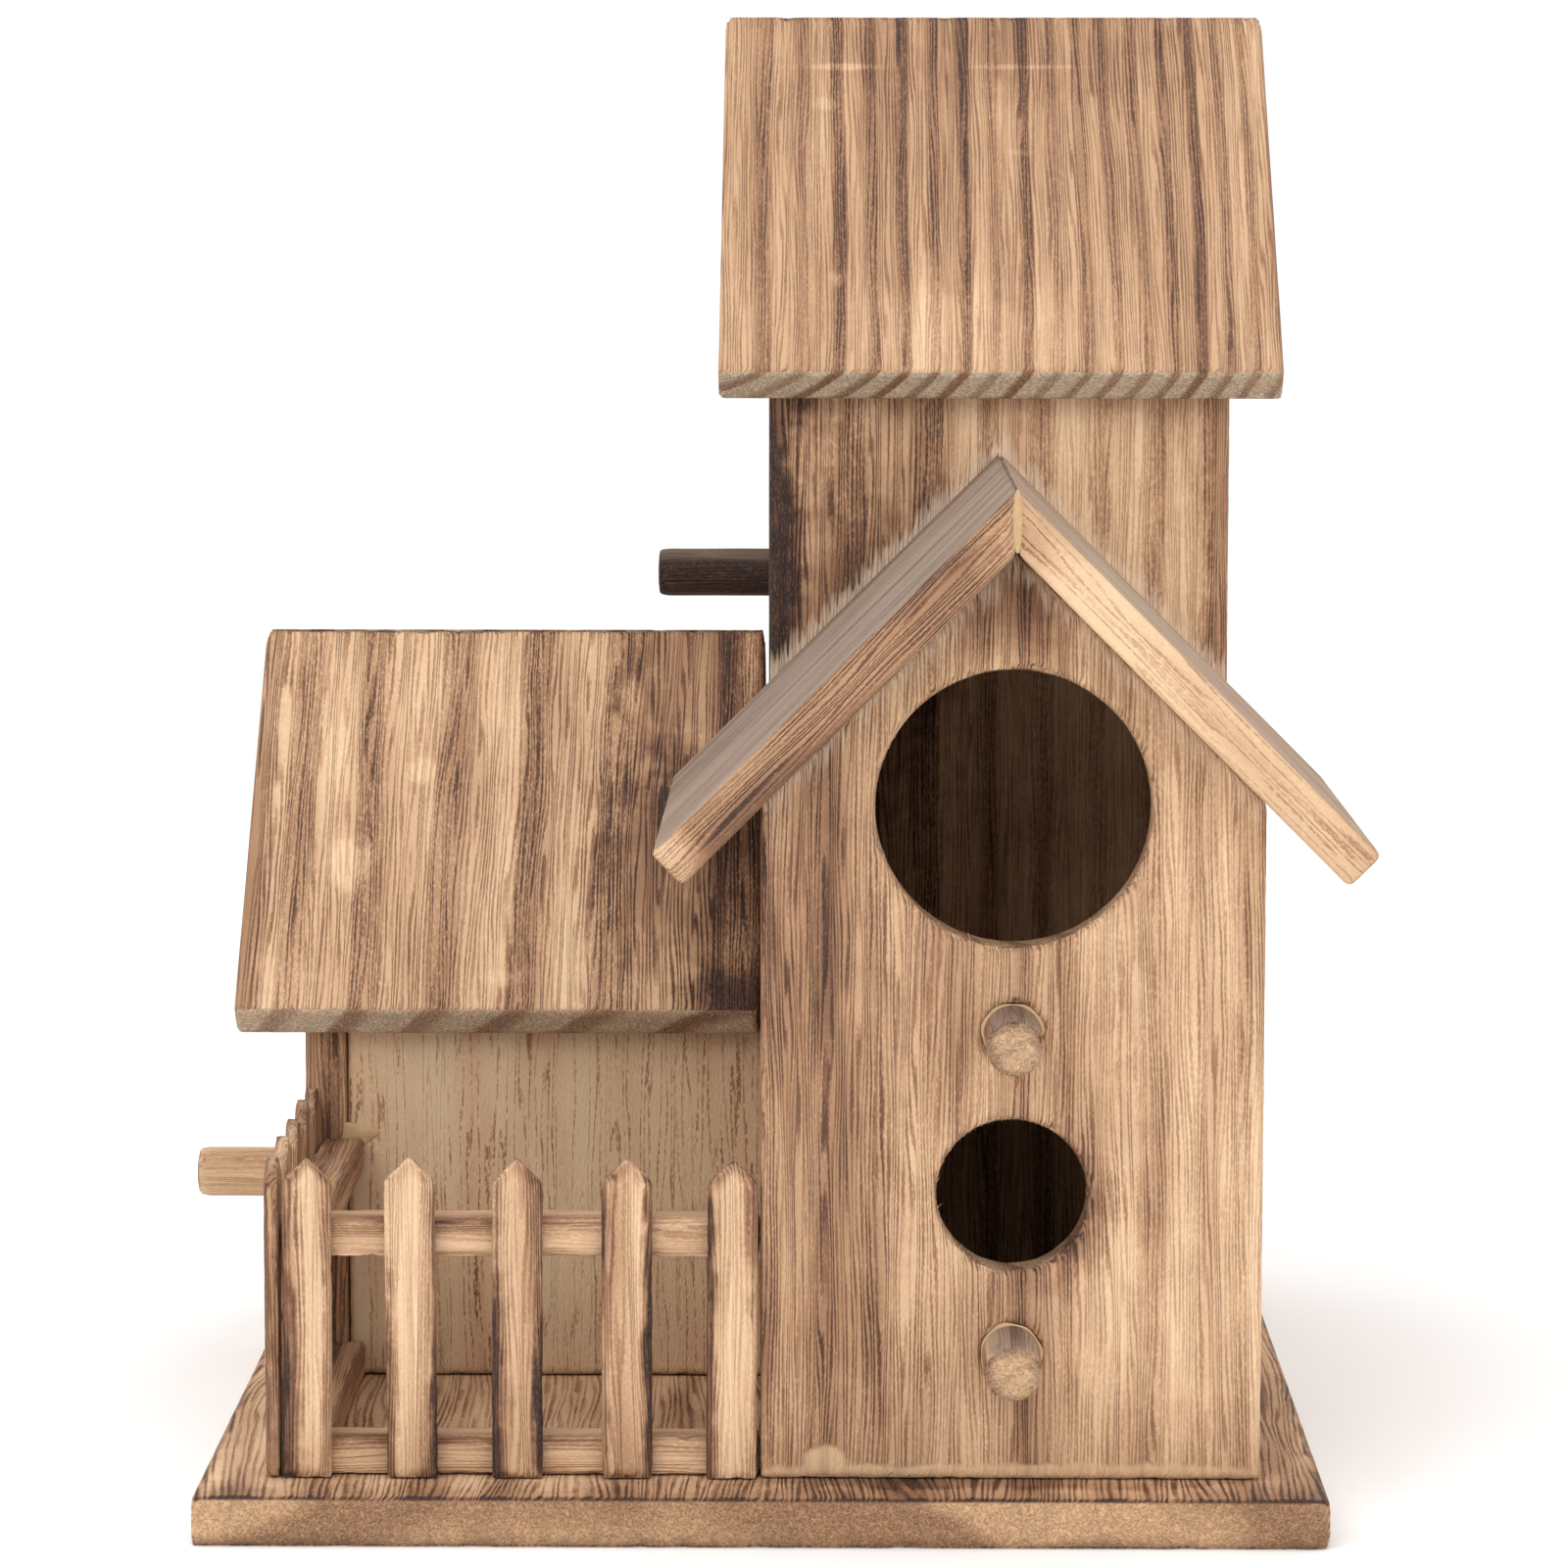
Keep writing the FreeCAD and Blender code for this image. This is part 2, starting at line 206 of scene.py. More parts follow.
SOCKETS = {
    float: "NodeSocketFloat", int: "NodeSocketInt", tuple: "NodeSocketVector",
    "geometry": "NodeSocketGeometry", "object": "NodeSocketObject",
    "material": "NodeSocketMaterial",
}


def new_group(name, kind, inputs, outputs):
    """A node group with named sockets. inputs maps a name to a default, or to a socket kind."""
    tree = bpy.data.node_groups.new(name, kind)
    for socket_name, value in inputs.items():
        key = value if isinstance(value, str) else type(value)
        socket = tree.interface.new_socket(socket_name, in_out="INPUT", socket_type=SOCKETS[key])
        if not isinstance(value, str):
            socket.default_value = value
    for socket_name, key in outputs.items():
        tree.interface.new_socket(socket_name, in_out="OUTPUT", socket_type=SOCKETS[key])
    start = tree.nodes.new("NodeGroupInput")
    end = tree.nodes.new("NodeGroupOutput")
    return tree, start.outputs, end.inputs


def shader_group(tree, name, inputs):
    node = add(tree, "ShaderNodeGroup", node_tree=bpy.data.node_groups[name])
    for key, value in inputs.items():
        feed(tree, node.inputs[key], value)
    return node.outputs


def new_material(name):
    """An empty node material: the material, its tree and the texture coordinates."""
    material = bpy.data.materials.new(name)
    material.use_nodes = True
    tree = material.node_tree
    tree.nodes.clear()
    return material, tree, add(tree, "ShaderNodeTexCoord").outputs


def end_material(tree, height, depth, strength, inputs):
    """Ends a material: its surface, with the height worked into its normal."""
    bump = add(tree, "ShaderNodeBump", {
        "Height": height, "Distance": depth, "Strength": strength}).outputs["Normal"]
    shader = add(tree, "ShaderNodeBsdfPrincipled", {**inputs, "Normal": bump})
    add(tree, "ShaderNodeOutputMaterial", {"Surface": shader.outputs[0]})


def end_tree(tree, end, geometry, material):
    """Ends a geometry tree: everything real, in its material."""
    real = add(tree, "GeometryNodeRealizeInstances", {"Geometry": geometry}).outputs[0]
    dressed = add(tree, "GeometryNodeSetMaterial", {"Geometry": real, "Material": material})
    feed(tree, end["Geometry"], dressed.outputs[0])


def lifted(tree, geometry, height):
    lift = combined(tree, {2: height})
    return add(tree, "GeometryNodeTransform", {
        "Geometry": geometry, "Translation": lift}).outputs[0]


def either_way(tree, seed, reach):
    """A random value from minus reach to reach."""
    chance = add(tree, "FunctionNodeRandomValue", {"Seed": seed}, data_type="FLOAT")
    feed(tree, chance.inputs[2], maths(tree, "MULTIPLY", reach, -1.0))
    feed(tree, chance.inputs[3], reach)
    return chance.outputs[1]


# --------------------------------------------------------------------------- shader groups

def make_grain_group():
    """Wood figure in board millimetres: growth rings, brushed lines, mottling, pale flecks painted
    as highlights on raised ridges, relief.
    """
    tree, start, end = new_group("Wood Grain", "ShaderNodeTree", {
        "Vector": (0.0, 0.0, 0.0), "Ring Centre": (60.0, 60.0, 0.0), "Ring Spacing": 6.0,
        "Wobble": 5.0, "Line Pitch": 0.8, "Stray": 5.0, "Sparseness": 0.0,
        "Seed": (0.0, 0.0, 0.0),
    }, {"Rings": float, "Lines": float, "Tone": float, "Ridge Highlight": float, "Relief": float})
    board = scaled(tree, start["Vector"], 1000.0)
    seeded = vectors(tree, "ADD", board, start["Seed"])
    wander = noise(tree, vectors(tree, "MULTIPLY", seeded, (1.0, 1.0, 0.22)), 0.035, 1.0, 0.5,
                   "Color")
    wander = scaled(tree, vectors(tree, "SUBTRACT", wander, (0.5, 0.5, 0.5)), start["Wobble"])

    flat = vectors(tree, "MULTIPLY", vectors(tree, "ADD", board, wander), (1.0, 1.0, 0.0))
    radius = vectors(tree, "LENGTH", vectors(tree, "SUBTRACT", flat, start["Ring Centre"]))
    turns = maths(tree, "DIVIDE", radius, start["Ring Spacing"])
    place_in_ring = maths(tree, "FRACT", turns)
    late_wood = maths(
        tree, "MULTIPLY", ranged(tree, place_in_ring, 0.42, 0.72),
        ranged(tree, place_in_ring, 0.88, 0.99, 1.0, 0.0))
    ring_chance = add(tree, "ShaderNodeTexWhiteNoise", {"W": maths(tree, "FLOOR", turns)},
                      noise_dimensions="1D").outputs["Value"]
    late_wood = maths(tree, "MULTIPLY", late_wood, ranged(tree, ring_chance, 0, 1, 0.5, 1.0))

    strayed = vectors(tree, "ADD", seeded, wander)
    parts = add(tree, "ShaderNodeSeparateXYZ", {0: strayed}).outputs
    across = maths(tree, "ADD", parts["X"], maths(tree, "MULTIPLY", parts["Y"], 0.7))
    drift = noise(tree, vectors(tree, "MULTIPLY", strayed, (0.4, 0.4, 0.02)), 1.0, 1.0)
    waver = noise(tree, vectors(tree, "MULTIPLY", strayed, (0.9, 0.9, 0.09)), 1.0, 1.0)
    phase = maths(tree, "DIVIDE", across, start["Line Pitch"])
    phase = maths(tree, "ADD", phase, maths(tree, "MULTIPLY", drift, start["Stray"]))
    phase = maths(tree, "ADD", phase, maths(tree, "MULTIPLY", waver, 0.5))
    wave = maths(tree, "SINE", maths(tree, "MULTIPLY", phase, 2 * math.pi))
    fleck = noise(tree, vectors(tree, "MULTIPLY", seeded, (1.0, 1.0, 0.3)), 3.4, 2.0, 0.65)
    grit = maths(tree, "SUBTRACT", fleck, 0.5)
    wave = maths(tree, "ADD", wave, maths(tree, "MULTIPLY", grit, 2.6))
    strength = noise(tree, vectors(tree, "MULTIPLY", strayed, (0.8, 0.8, 0.045)), 1.0, 2.0, 0.6)
    thin = maths(tree, "SUBTRACT", maths(tree, "MULTIPLY", start["Sparseness"], 1.3), 0.6)
    lines = maths(tree, "MULTIPLY", ranged(tree, wave, thin, 1.1),
                  ranged(tree, strength, 0.36, 0.62, 0.42, 1.0))

    cloud = noise(tree, vectors(tree, "MULTIPLY", strayed, (1.0, 1.0, 0.15)), 0.11, 2.0, 0.55)
    tone = maths(tree, "ADD", maths(tree, "SUBTRACT", cloud, 0.5),
                 maths(tree, "MULTIPLY", maths(tree, "SUBTRACT", ring_chance, 0.5), 0.16))
    tone = maths(tree, "ADD", tone, maths(tree, "MULTIPLY", grit, 0.34))
    speckled = ranged(tree, fleck, 0.36, 0.6, 0.6, 1.1)
    feed(tree, end["Rings"], maths(tree, "MULTIPLY", late_wood, speckled))
    feed(tree, end["Lines"], lines)
    feed(tree, end["Tone"], tone)
    # Painted highlight: pale flecks where the relief rises, standing in for light on the ridges
    feed(tree, end["Ridge Highlight"], ranged(tree, fleck, 0.5, 0.64))
    feed(tree, end["Relief"], maths(tree, "SUBTRACT", maths(tree, "MULTIPLY", fleck, 1.8), lines))


def make_patch_group():
    """An oval patch with a torn outline: full at its centre, gone at its radii."""
    tree, start, end = new_group("Burn Patch", "ShaderNodeTree", {
        "Vector": (0.0, 0.0, 0.0), "Centre": (0.0, 0.0, 0.0), "Radii": (0.01, 0.01, 0.01),
        "Tear": 0.0, "Softness": 0.75,
    }, {"Mask": float})
    offset = vectors(tree, "SUBTRACT", start["Vector"], start["Centre"])
    distance = vectors(tree, "LENGTH", vectors(tree, "DIVIDE", offset, start["Radii"]))
    distance = maths(tree, "ADD", distance, start["Tear"])
    inner = maths(tree, "SUBTRACT", 1.0, start["Softness"])
    feed(tree, end["Mask"], ranged(tree, distance, inner, 1.0, 1.0, 0.0))


def make_edge_group():
    """Scorching that starts at a board's edges, and the paler line where the edge has worn."""
    tree, start, end = new_group("Board Edge", "ShaderNodeTree", {
        "Vector": (0.0, 0.0, 0.0), "Reach": 3.0, "Patchiness": 0.5,
    }, {"Burnt": float, "Worn": float})
    near = add(tree, "ShaderNodeAttribute", attribute_name=EDGE).outputs["Fac"]
    near = maths(tree, "MULTIPLY", near, 1000.0)
    lengthwise = vectors(tree, "MULTIPLY", start["Vector"], (1.0, 1.0, 0.3))
    where = noise(tree, lengthwise, 60.0, 1.0)
    flicker = noise(tree, lengthwise, 420.0, 2.0, 0.5)
    reach = maths(tree, "MULTIPLY", start["Reach"], ranged(tree, flicker, 0.3, 0.7, 0.55, 1.4))
    close = ranged(tree, maths(tree, "DIVIDE", near, reach), 0.0, 1.0, 1.0, 0.0)
    kept = add(tree, "ShaderNodeMix", {
        "Factor": start["Patchiness"], "A": 1.0, "B": ranged(tree, where, 0.38, 0.64)},
        data_type="FLOAT").outputs[0]
    feed(tree, end["Burnt"], maths(tree, "MULTIPLY", close, kept))
    rubbed = maths(tree, "MULTIPLY", ranged(tree, near, 0.2, 1.0, 1.0, 0.0),
                   ranged(tree, flicker, 0.4, 0.6))
    feed(tree, end["Worn"], rubbed)


def make_joint_group():
    """How near a point is to the gable roof's boards: a line that bends at the ridge."""
    tree, start, end = new_group("Roof Joint", "ShaderNodeTree", {
        "Vector": (0.0, 0.0, 0.0), "Ridge": (0.0, 0.0, 0.0), "Reach": 0.006, "Streak": 0.5,
    }, {"Mask": float})
    offset = vectors(tree, "SUBTRACT", start["Vector"], start["Ridge"])
    parts = add(tree, "ShaderNodeSeparateXYZ", {0: offset})
    fall = maths(tree, "ADD", parts.outputs["Z"], maths(tree, "ABSOLUTE", parts.outputs["X"]))
    away = maths(tree, "MULTIPLY", maths(tree, "ABSOLUTE", fall), math.sqrt(0.5))
    uneven = noise(tree, vectors(tree, "MULTIPLY", start["Vector"], (1.0, 1.0, 0.09)), 1500.0, 1.0)
    reach = maths(tree, "MULTIPLY", start["Reach"], ranged(tree, uneven, 0.3, 0.7, 0.35, 1.5))
    near = ranged(tree, maths(tree, "DIVIDE", away, reach), 0.2, 1.0, 1.0, 0.0)
    broken = ranged(tree, start["Streak"], 0.0, 1.0, 1.0, 0.75)
    feed(tree, end["Mask"], maths(tree, "MULTIPLY", near, broken))


def make_end_group():
    """End grain: where a surface faces along the grain, and its woolly pebbling."""
    tree, start, end = new_group("End Grain", "ShaderNodeTree", {
        "Vector": (0.0, 0.0, 0.0), "Normal": (0.0, 0.0, 1.0), "Grain": (0.0, 0.0, 1.0),
    }, {"Mask": float, "Wool": float})
    facing = maths(tree, "ABSOLUTE", vectors(tree, "DOT_PRODUCT", start["Normal"], start["Grain"]))
    feed(tree, end["Mask"], ranged(tree, facing, 0.62, 0.84))
    bent = vectors(tree, "ADD", start["Vector"],
                   scaled(tree, noise(tree, start["Vector"], 700.0, 0.0, 0.5, "Color"), 0.0011))
    feed(tree, end["Wool"], noise(tree, bent, 1900.0, 3.0, 0.7))


# --------------------------------------------------------------------------- materials

GRAIN_DEPTH = 0.22 * MM
SCUFF_DEPTH = 0.03 * MM
GLUE_DEPTH = 0.2 * MM


def box_point(node, fractions):
    """A point in a node's box, by fractions along X, Y and Z."""
    low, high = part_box(node)
    return tuple(low[axis] + (high[axis] - low[axis]) * fractions[axis] for axis in range(3))


def wood_material(name, node, lie, toast=0.3, mottle=0.9, rings=0.4, ring_spacing=6.0,
                  ring_centre=(60, 60), lines=0.42, line_pitch=0.8, wobble=5.0, stray=5.0,
                  sparseness=0.0, edge_burn=0.18, edge_reach=2.2, edge_patch=0.5,
                  edge_worn=0.2, patches=(), glued=(), seed=0, pores=0.13, bare=False,
                  greyed=0.0, end_tone=0.0, end_warmth=0.15, end_rings=0.9, joint=None,
                  joint_reach=6.0, joint_paleness=0.4):
    """A board's own finish, laid out in the board's frame and burnt where the patches say."""
    finish = bpy.context.scene.birdhouse_finish
    material, tree, coordinates = new_material(name)
    place = coordinates["Object"]
    turn = Euler([math.radians(angle) for angle in LIES[lie]])
    board = add(tree, "ShaderNodeMapping", {
        "Vector": place, "Location": box_point(node, (0.5, 0.5, 0.5)), "Rotation": turn,
    }, vector_type="TEXTURE").outputs[0]
    grain = shader_group(tree, "Wood Grain", {
        "Vector": board, "Ring Centre": (ring_centre[0], ring_centre[1], 0.0),
        "Ring Spacing": ring_spacing, "Wobble": wobble, "Line Pitch": line_pitch,
        "Stray": stray, "Sparseness": sparseness, "Seed": (seed * 37.0, seed * 53.0, seed * 71.0),
    })
    ends = shader_group(tree, "End Grain", {
        "Vector": board, "Normal": coordinates["Normal"], "Grain": turn.to_matrix() @ UP,
    })
    edges = shader_group(tree, "Board Edge", {
        "Vector": board, "Reach": edge_reach, "Patchiness": edge_patch})

    tear = maths(tree, "SUBTRACT", noise(tree, board, 150.0, 3.0, 0.6), 0.5)
    tear = maths(tree, "ADD", tear, maths(tree, "MULTIPLY", grain["Lines"], -0.16))
    burn = maths(tree, "ADD", toast, maths(tree, "MULTIPLY", grain["Tone"], mottle))
    for centre, radii, strength in patches:
        burn = maths(tree, "ADD", burn, maths(
            tree, "MULTIPLY", patch(tree, place, node, centre, radii, tear), strength))
    burn = maths(tree, "ADD", burn, maths(tree, "MULTIPLY", edges["Burnt"], edge_burn))
    burn = maths(tree, "SUBTRACT", burn, maths(tree, "MULTIPLY", edges["Worn"], edge_worn))
    depth = maths(tree, "MAXIMUM", burn, 0.0)
    hold = ranged(tree, depth, 0.0, 0.4, 0.72, 1.0)
    marks = maths(tree, "ADD", maths(tree, "MULTIPLY", grain["Lines"], lines),
                  maths(tree, "MULTIPLY", grain["Rings"], rings))
    room = maths(tree, "SUBTRACT", 1.0, maths(tree, "MULTIPLY", depth, 0.6))
    marks = maths(tree, "MULTIPLY", maths(tree, "MULTIPLY", marks, hold), maths(
        tree, "MULTIPLY", room, 1.1))
    level = maths(tree, "ADD", depth, marks, clamp=True)
    # Painted highlight: the flecks make the colour paler on the raised ridges
    ridge_highlight_fleck = maths(tree, "MULTIPLY", maths(tree, "MULTIPLY", grain["Ridge Highlight"], pores), level)
    level = maths(tree, "SUBTRACT", level, ridge_highlight_fleck)
    colour = ramp(tree, level, (
        (0.0, finish.plain if bare else finish.cream), (0.25, finish.tan), (0.5, finish.toasted),
        (0.72, finish.brown), (0.88, finish.umber), (1.0, finish.char)))
    # Painted sheen: faces that look upward are turned grey, as if lit from above
    if greyed:
        upward = vectors(tree, "DOT_PRODUCT", coordinates["Normal"], UP)
        streaks = maths(tree, "ADD", maths(tree, "MULTIPLY", grain["Lines"], 0.5),
                        maths(tree, "MULTIPLY", grain["Rings"], 0.22))
        streaks = maths(tree, "ADD", streaks, maths(tree, "MULTIPLY", grain["Tone"], 1.6),
                        clamp=True)
        sheen_colour = blend(tree, streaks, finish.top_sheen_grey, finish.umber)
        sheen_mask = ranged(tree, upward, 0.45, 0.65, 0.0, greyed)
        colour = blend(tree, sheen_mask, colour, sheen_colour)

    plain_end = blend(tree, end_warmth, finish.end_grain, finish.warm_end)
    end_colour = blend(tree, maths(tree, "MULTIPLY", grain["Rings"], end_rings),
                       plain_end, finish.end_ring)
    end_level = maths(tree, "ADD", end_tone, maths(tree, "MULTIPLY", edges["Burnt"], 0.45))
    end_level = maths(tree, "ADD", end_level, maths(tree, "MULTIPLY", grain["Tone"], 0.5),
                      clamp=True)
    end_colour = blend(tree, end_level, end_colour, finish.umber)
    wool = ranged(tree, ends["Wool"], 0.36, 0.64, 0.64, 1.16)
    end_colour = blend(tree, 1.0, end_colour, add(tree, "ShaderNodeCombineColor", {
        0: wool, 1: wool, 2: wool}).outputs[0], "MULTIPLY")
    colour = blend(tree, ends["Mask"], colour, end_colour)

    sealed = 0.0
    for centre, radii in glued:
        smear = patch(tree, place, node, centre, radii, tear, 0.3)
        sealed = maths(tree, "MAXIMUM", sealed, smear)
    if glued:
        colour = blend(tree, maths(tree, "MULTIPLY", sealed, 0.85), colour, finish.glue)
    if joint is not None:
        seam = shader_group(tree, "Roof Joint", {
            "Vector": place, "Ridge": joint, "Reach": joint_reach * MM, "Streak": grain["Lines"]})
        forward = vectors(tree, "DOT_PRODUCT", coordinates["Normal"], (0, 1, 0))
        forward = maths(tree, "ABSOLUTE", forward)
        fuzz = maths(tree, "MULTIPLY", seam["Mask"], ranged(
            tree, forward, 0.5, 0.8, 0.0, joint_paleness))
        colour = blend(tree, fuzz, colour, finish.fibre)

    height = add(tree, "ShaderNodeMix", {
        "Factor": ends["Mask"], "A": grain["Relief"],
        "B": maths(tree, "MULTIPLY", ends["Wool"], 4.0)}, data_type="FLOAT").outputs[0]
    end_material(tree, height, GRAIN_DEPTH, 0.9, {
        "Base Color": colour, "Roughness": ranged(tree, level, 0.0, 1.0, 0.84, 0.66),
        "Specular IOR Level": 0.25})
    return material


def patch(tree, place, node, centre, radii, tear, softness=0.75):
    """The mask of an oval patch, placed by fractions of a node's box, with radii in millimetres."""
    return shader_group(tree, "Burn Patch", {
        "Vector": place, "Centre": box_point(node, centre),
        "Radii": tuple(radius * MM for radius in radii), "Tear": tear, "Softness": softness,
    })["Mask"]


def metal_material():
    """Zinc-plated steel with fine scuffs and dull spots."""
    material, tree, coordinates = new_material("zinc_steel")
    place = coordinates["Object"]
    spots = noise(tree, place, 900.0, 4.0, 0.6)
    scuffs = noise(tree, vectors(tree, "MULTIPLY", place, (1.0, 6.0, 6.0)), 1500.0, 3.0, 0.6)
    colour = ramp(tree, spots, (
        (0.3, srgb(120, 116, 108)), (0.55, srgb(176, 176, 174)), (0.75, srgb(150, 138, 120))))
    end_material(tree, scuffs, SCUFF_DEPTH, 0.5, {
        "Base Color": colour, "Metallic": 1.0,
        "Roughness": ranged(tree, scuffs, 0.3, 0.7, 0.28, 0.55)})
    return material


def glue_material():
    """Dried wood glue: amber, cloudy, with a low sheen."""
    material, tree, coordinates = new_material("dried_glue")
    cloud = noise(tree, coordinates["Object"], 260.0, 4.0, 0.6)
    colour = ramp(tree, cloud, ((0.3, srgb(172, 138, 98)), (0.7, srgb(192, 160, 120))))
    end_material(tree, cloud, GLUE_DEPTH, 0.6, {
        "Base Color": colour, "Roughness": ranged(tree, cloud, 0.3, 0.7, 0.42, 0.6)})
    return material


# --------------------------------------------------------------------------- geometry trees

WORN_REACH = 2.4 * MM       # how far from an edge it is dented
EDGE_ROUNDING = 0.22 * MM


def make_worn_board_tree():
    """Wears a finely meshed board: dented edges, a brushed face, and each point's edge distance."""
    tree, start, end = new_group("Worn Board", "GeometryNodeTree", {
        "Geometry": "geometry", "Sharp Board": "object", "Edge Wear": 0.0005, "Relief": 0.00015,
        "Grain": (0.0, 0.0, 1.0), "Seed": (0.0, 0.0, 0.0), "Material": "material",
    }, {"Geometry": "geometry"})
    sharp = add(tree, "GeometryNodeObjectInfo", {"Object": start["Sharp Board"]})
    angle = add(tree, "GeometryNodeInputMeshEdgeAngle").outputs["Unsigned Angle"]
    is_sharp = add(tree, "FunctionNodeCompare", {"A": angle, "B": 0.5},
                   data_type="FLOAT", operation="GREATER_THAN").outputs[0]
    edges = add(tree, "GeometryNodeSeparateGeometry", {
        "Geometry": sharp.outputs["Geometry"], "Selection": is_sharp}, domain="EDGE").outputs[0]
    position = add(tree, "GeometryNodeInputPosition").outputs[0]
    near = add(tree, "GeometryNodeProximity", {0: edges, "Source Position": position},
               target_element="EDGES").outputs["Distance"]
    stored = add(tree, "GeometryNodeStoreNamedAttribute", {
        "Geometry": start["Geometry"], "Name": EDGE, "Value": near},
        data_type="FLOAT", domain="POINT").outputs[0]
    close = ranged(tree, near, 0.0, WORN_REACH, 1.0, 0.0)
    seeded = vectors(tree, "ADD", position, start["Seed"])
    along = vectors(tree, "DOT_PRODUCT", seeded, start["Grain"])
    shortened = vectors(tree, "SUBTRACT", seeded,
                        scaled(tree, start["Grain"], maths(tree, "MULTIPLY", along, 0.82)))
    dents = ranged(tree, noise(tree, seeded, 240.0, 3.0, 0.6), 0.46, 0.78)
    rounding = maths(tree, "MULTIPLY", maths(tree, "POWER", close, 2.0), EDGE_ROUNDING)
    wear = maths(tree, "ADD", rounding, maths(
        tree, "MULTIPLY", maths(tree, "MULTIPLY", dents, close), start["Edge Wear"]))
    brushed = noise(tree, shortened, 340.0, 2.0, 0.5)
    broad = noise(tree, seeded, 45.0, 1.0, 0.5)
    depth = maths(tree, "MULTIPLY", maths(tree, "ADD", maths(tree, "MULTIPLY", brushed, 0.6),
                                          maths(tree, "MULTIPLY", broad, 0.4)), start["Relief"])
    inwards = maths(tree, "MULTIPLY", maths(tree, "ADD", wear, depth), -1.0)
    offset = scaled(tree, add(tree, "GeometryNodeInputNormal").outputs[0], inwards)
    moved = add(tree, "GeometryNodeSetPosition", {"Geometry": stored, "Offset": offset}).outputs[0]
    smooth = add(tree, "GeometryNodeSetShadeSmooth", {"Geometry": moved, "Shade Smooth": True})
    end_tree(tree, end, smooth.outputs[0], start["Material"])


SHORTEST_PICKET = 0.985     # share of a full picket's height
BRAD_SIDES = 12


def make_picket_tree():
    """A row of pickets: pointed strips, each a little off its place and upright."""
    tree, start, end = new_group("Picket Row", "GeometryNodeTree", {
        "Count": 5, "First": (0.0, 0.0, 0.0), "Step": (0.02, 0.0, 0.0), "Width": 0.01,
        "Thickness": 0.003, "Height": 0.06, "Point": 0.005, "Turn": 0.0,
        "Unevenness": 0.0005, "Lean": 0.01, "Seed": 1, "Material": "material",
    }, {"Geometry": "geometry"})
    size = combined(tree, {0: start["Width"], 1: start["Thickness"], 2: start["Height"]})
    strip = add(tree, "GeometryNodeMeshCube", {
        "Size": size, "Vertices X": 3, "Vertices Y": 2, "Vertices Z": 2}).outputs["Mesh"]
    half_height = maths(tree, "MULTIPLY", start["Height"], 0.5)
    position = add(tree, "GeometryNodeInputPosition").outputs[0]
    parts = add(tree, "ShaderNodeSeparateXYZ", {0: position}).outputs
    side = maths(tree, "DIVIDE", maths(tree, "ABSOLUTE", parts["X"]), start["Width"])
    is_top = maths(tree, "GREATER_THAN", parts["Z"], 0.0)
    lowered = maths(tree, "MULTIPLY", maths(tree, "MULTIPLY", side, -2.0), start["Point"])
    drop = maths(tree, "MULTIPLY", lowered, is_top)
    rise = maths(tree, "ADD", drop, half_height)
    offset = combined(tree, {2: rise})
    pointed = add(tree, "GeometryNodeSetPosition", {"Geometry": strip, "Offset": offset}).outputs[0]
    turn = combined(tree, {2: start["Turn"]})
    points = add(tree, "GeometryNodeMeshLine", {
        "Count": start["Count"], "Start Location": start["First"], "Offset": start["Step"]},
        mode="OFFSET", count_mode="TOTAL").outputs["Mesh"]
    stray = either_way(tree, start["Seed"], start["Unevenness"])
    along = vectors(tree, "NORMALIZE", start["Step"])
    points = add(tree, "GeometryNodeSetPosition", {
        "Geometry": points, "Offset": scaled(tree, along, stray)}).outputs[0]
    lean = either_way(tree, maths(tree, "ADD", start["Seed"], 7.0), start["Lean"])
    tilt = combined(tree, {1: lean})
    tall = add(tree, "FunctionNodeRandomValue", {
        2: SHORTEST_PICKET, 3: 1.0, "Seed": maths(tree, "ADD", start["Seed"], 3.0)},
        data_type="FLOAT")
    scale = combined(tree, {0: 1.0, 1: 1.0, 2: tall.outputs[1]})
    rows = add(tree, "GeometryNodeInstanceOnPoints", {
        "Points": points, "Instance": pointed, "Rotation": turn, "Scale": scale}).outputs[0]
    leaning = add(tree, "GeometryNodeRotateInstances", {"Instances": rows, "Rotation": tilt})
    end_tree(tree, end, leaning.outputs[0], start["Material"])


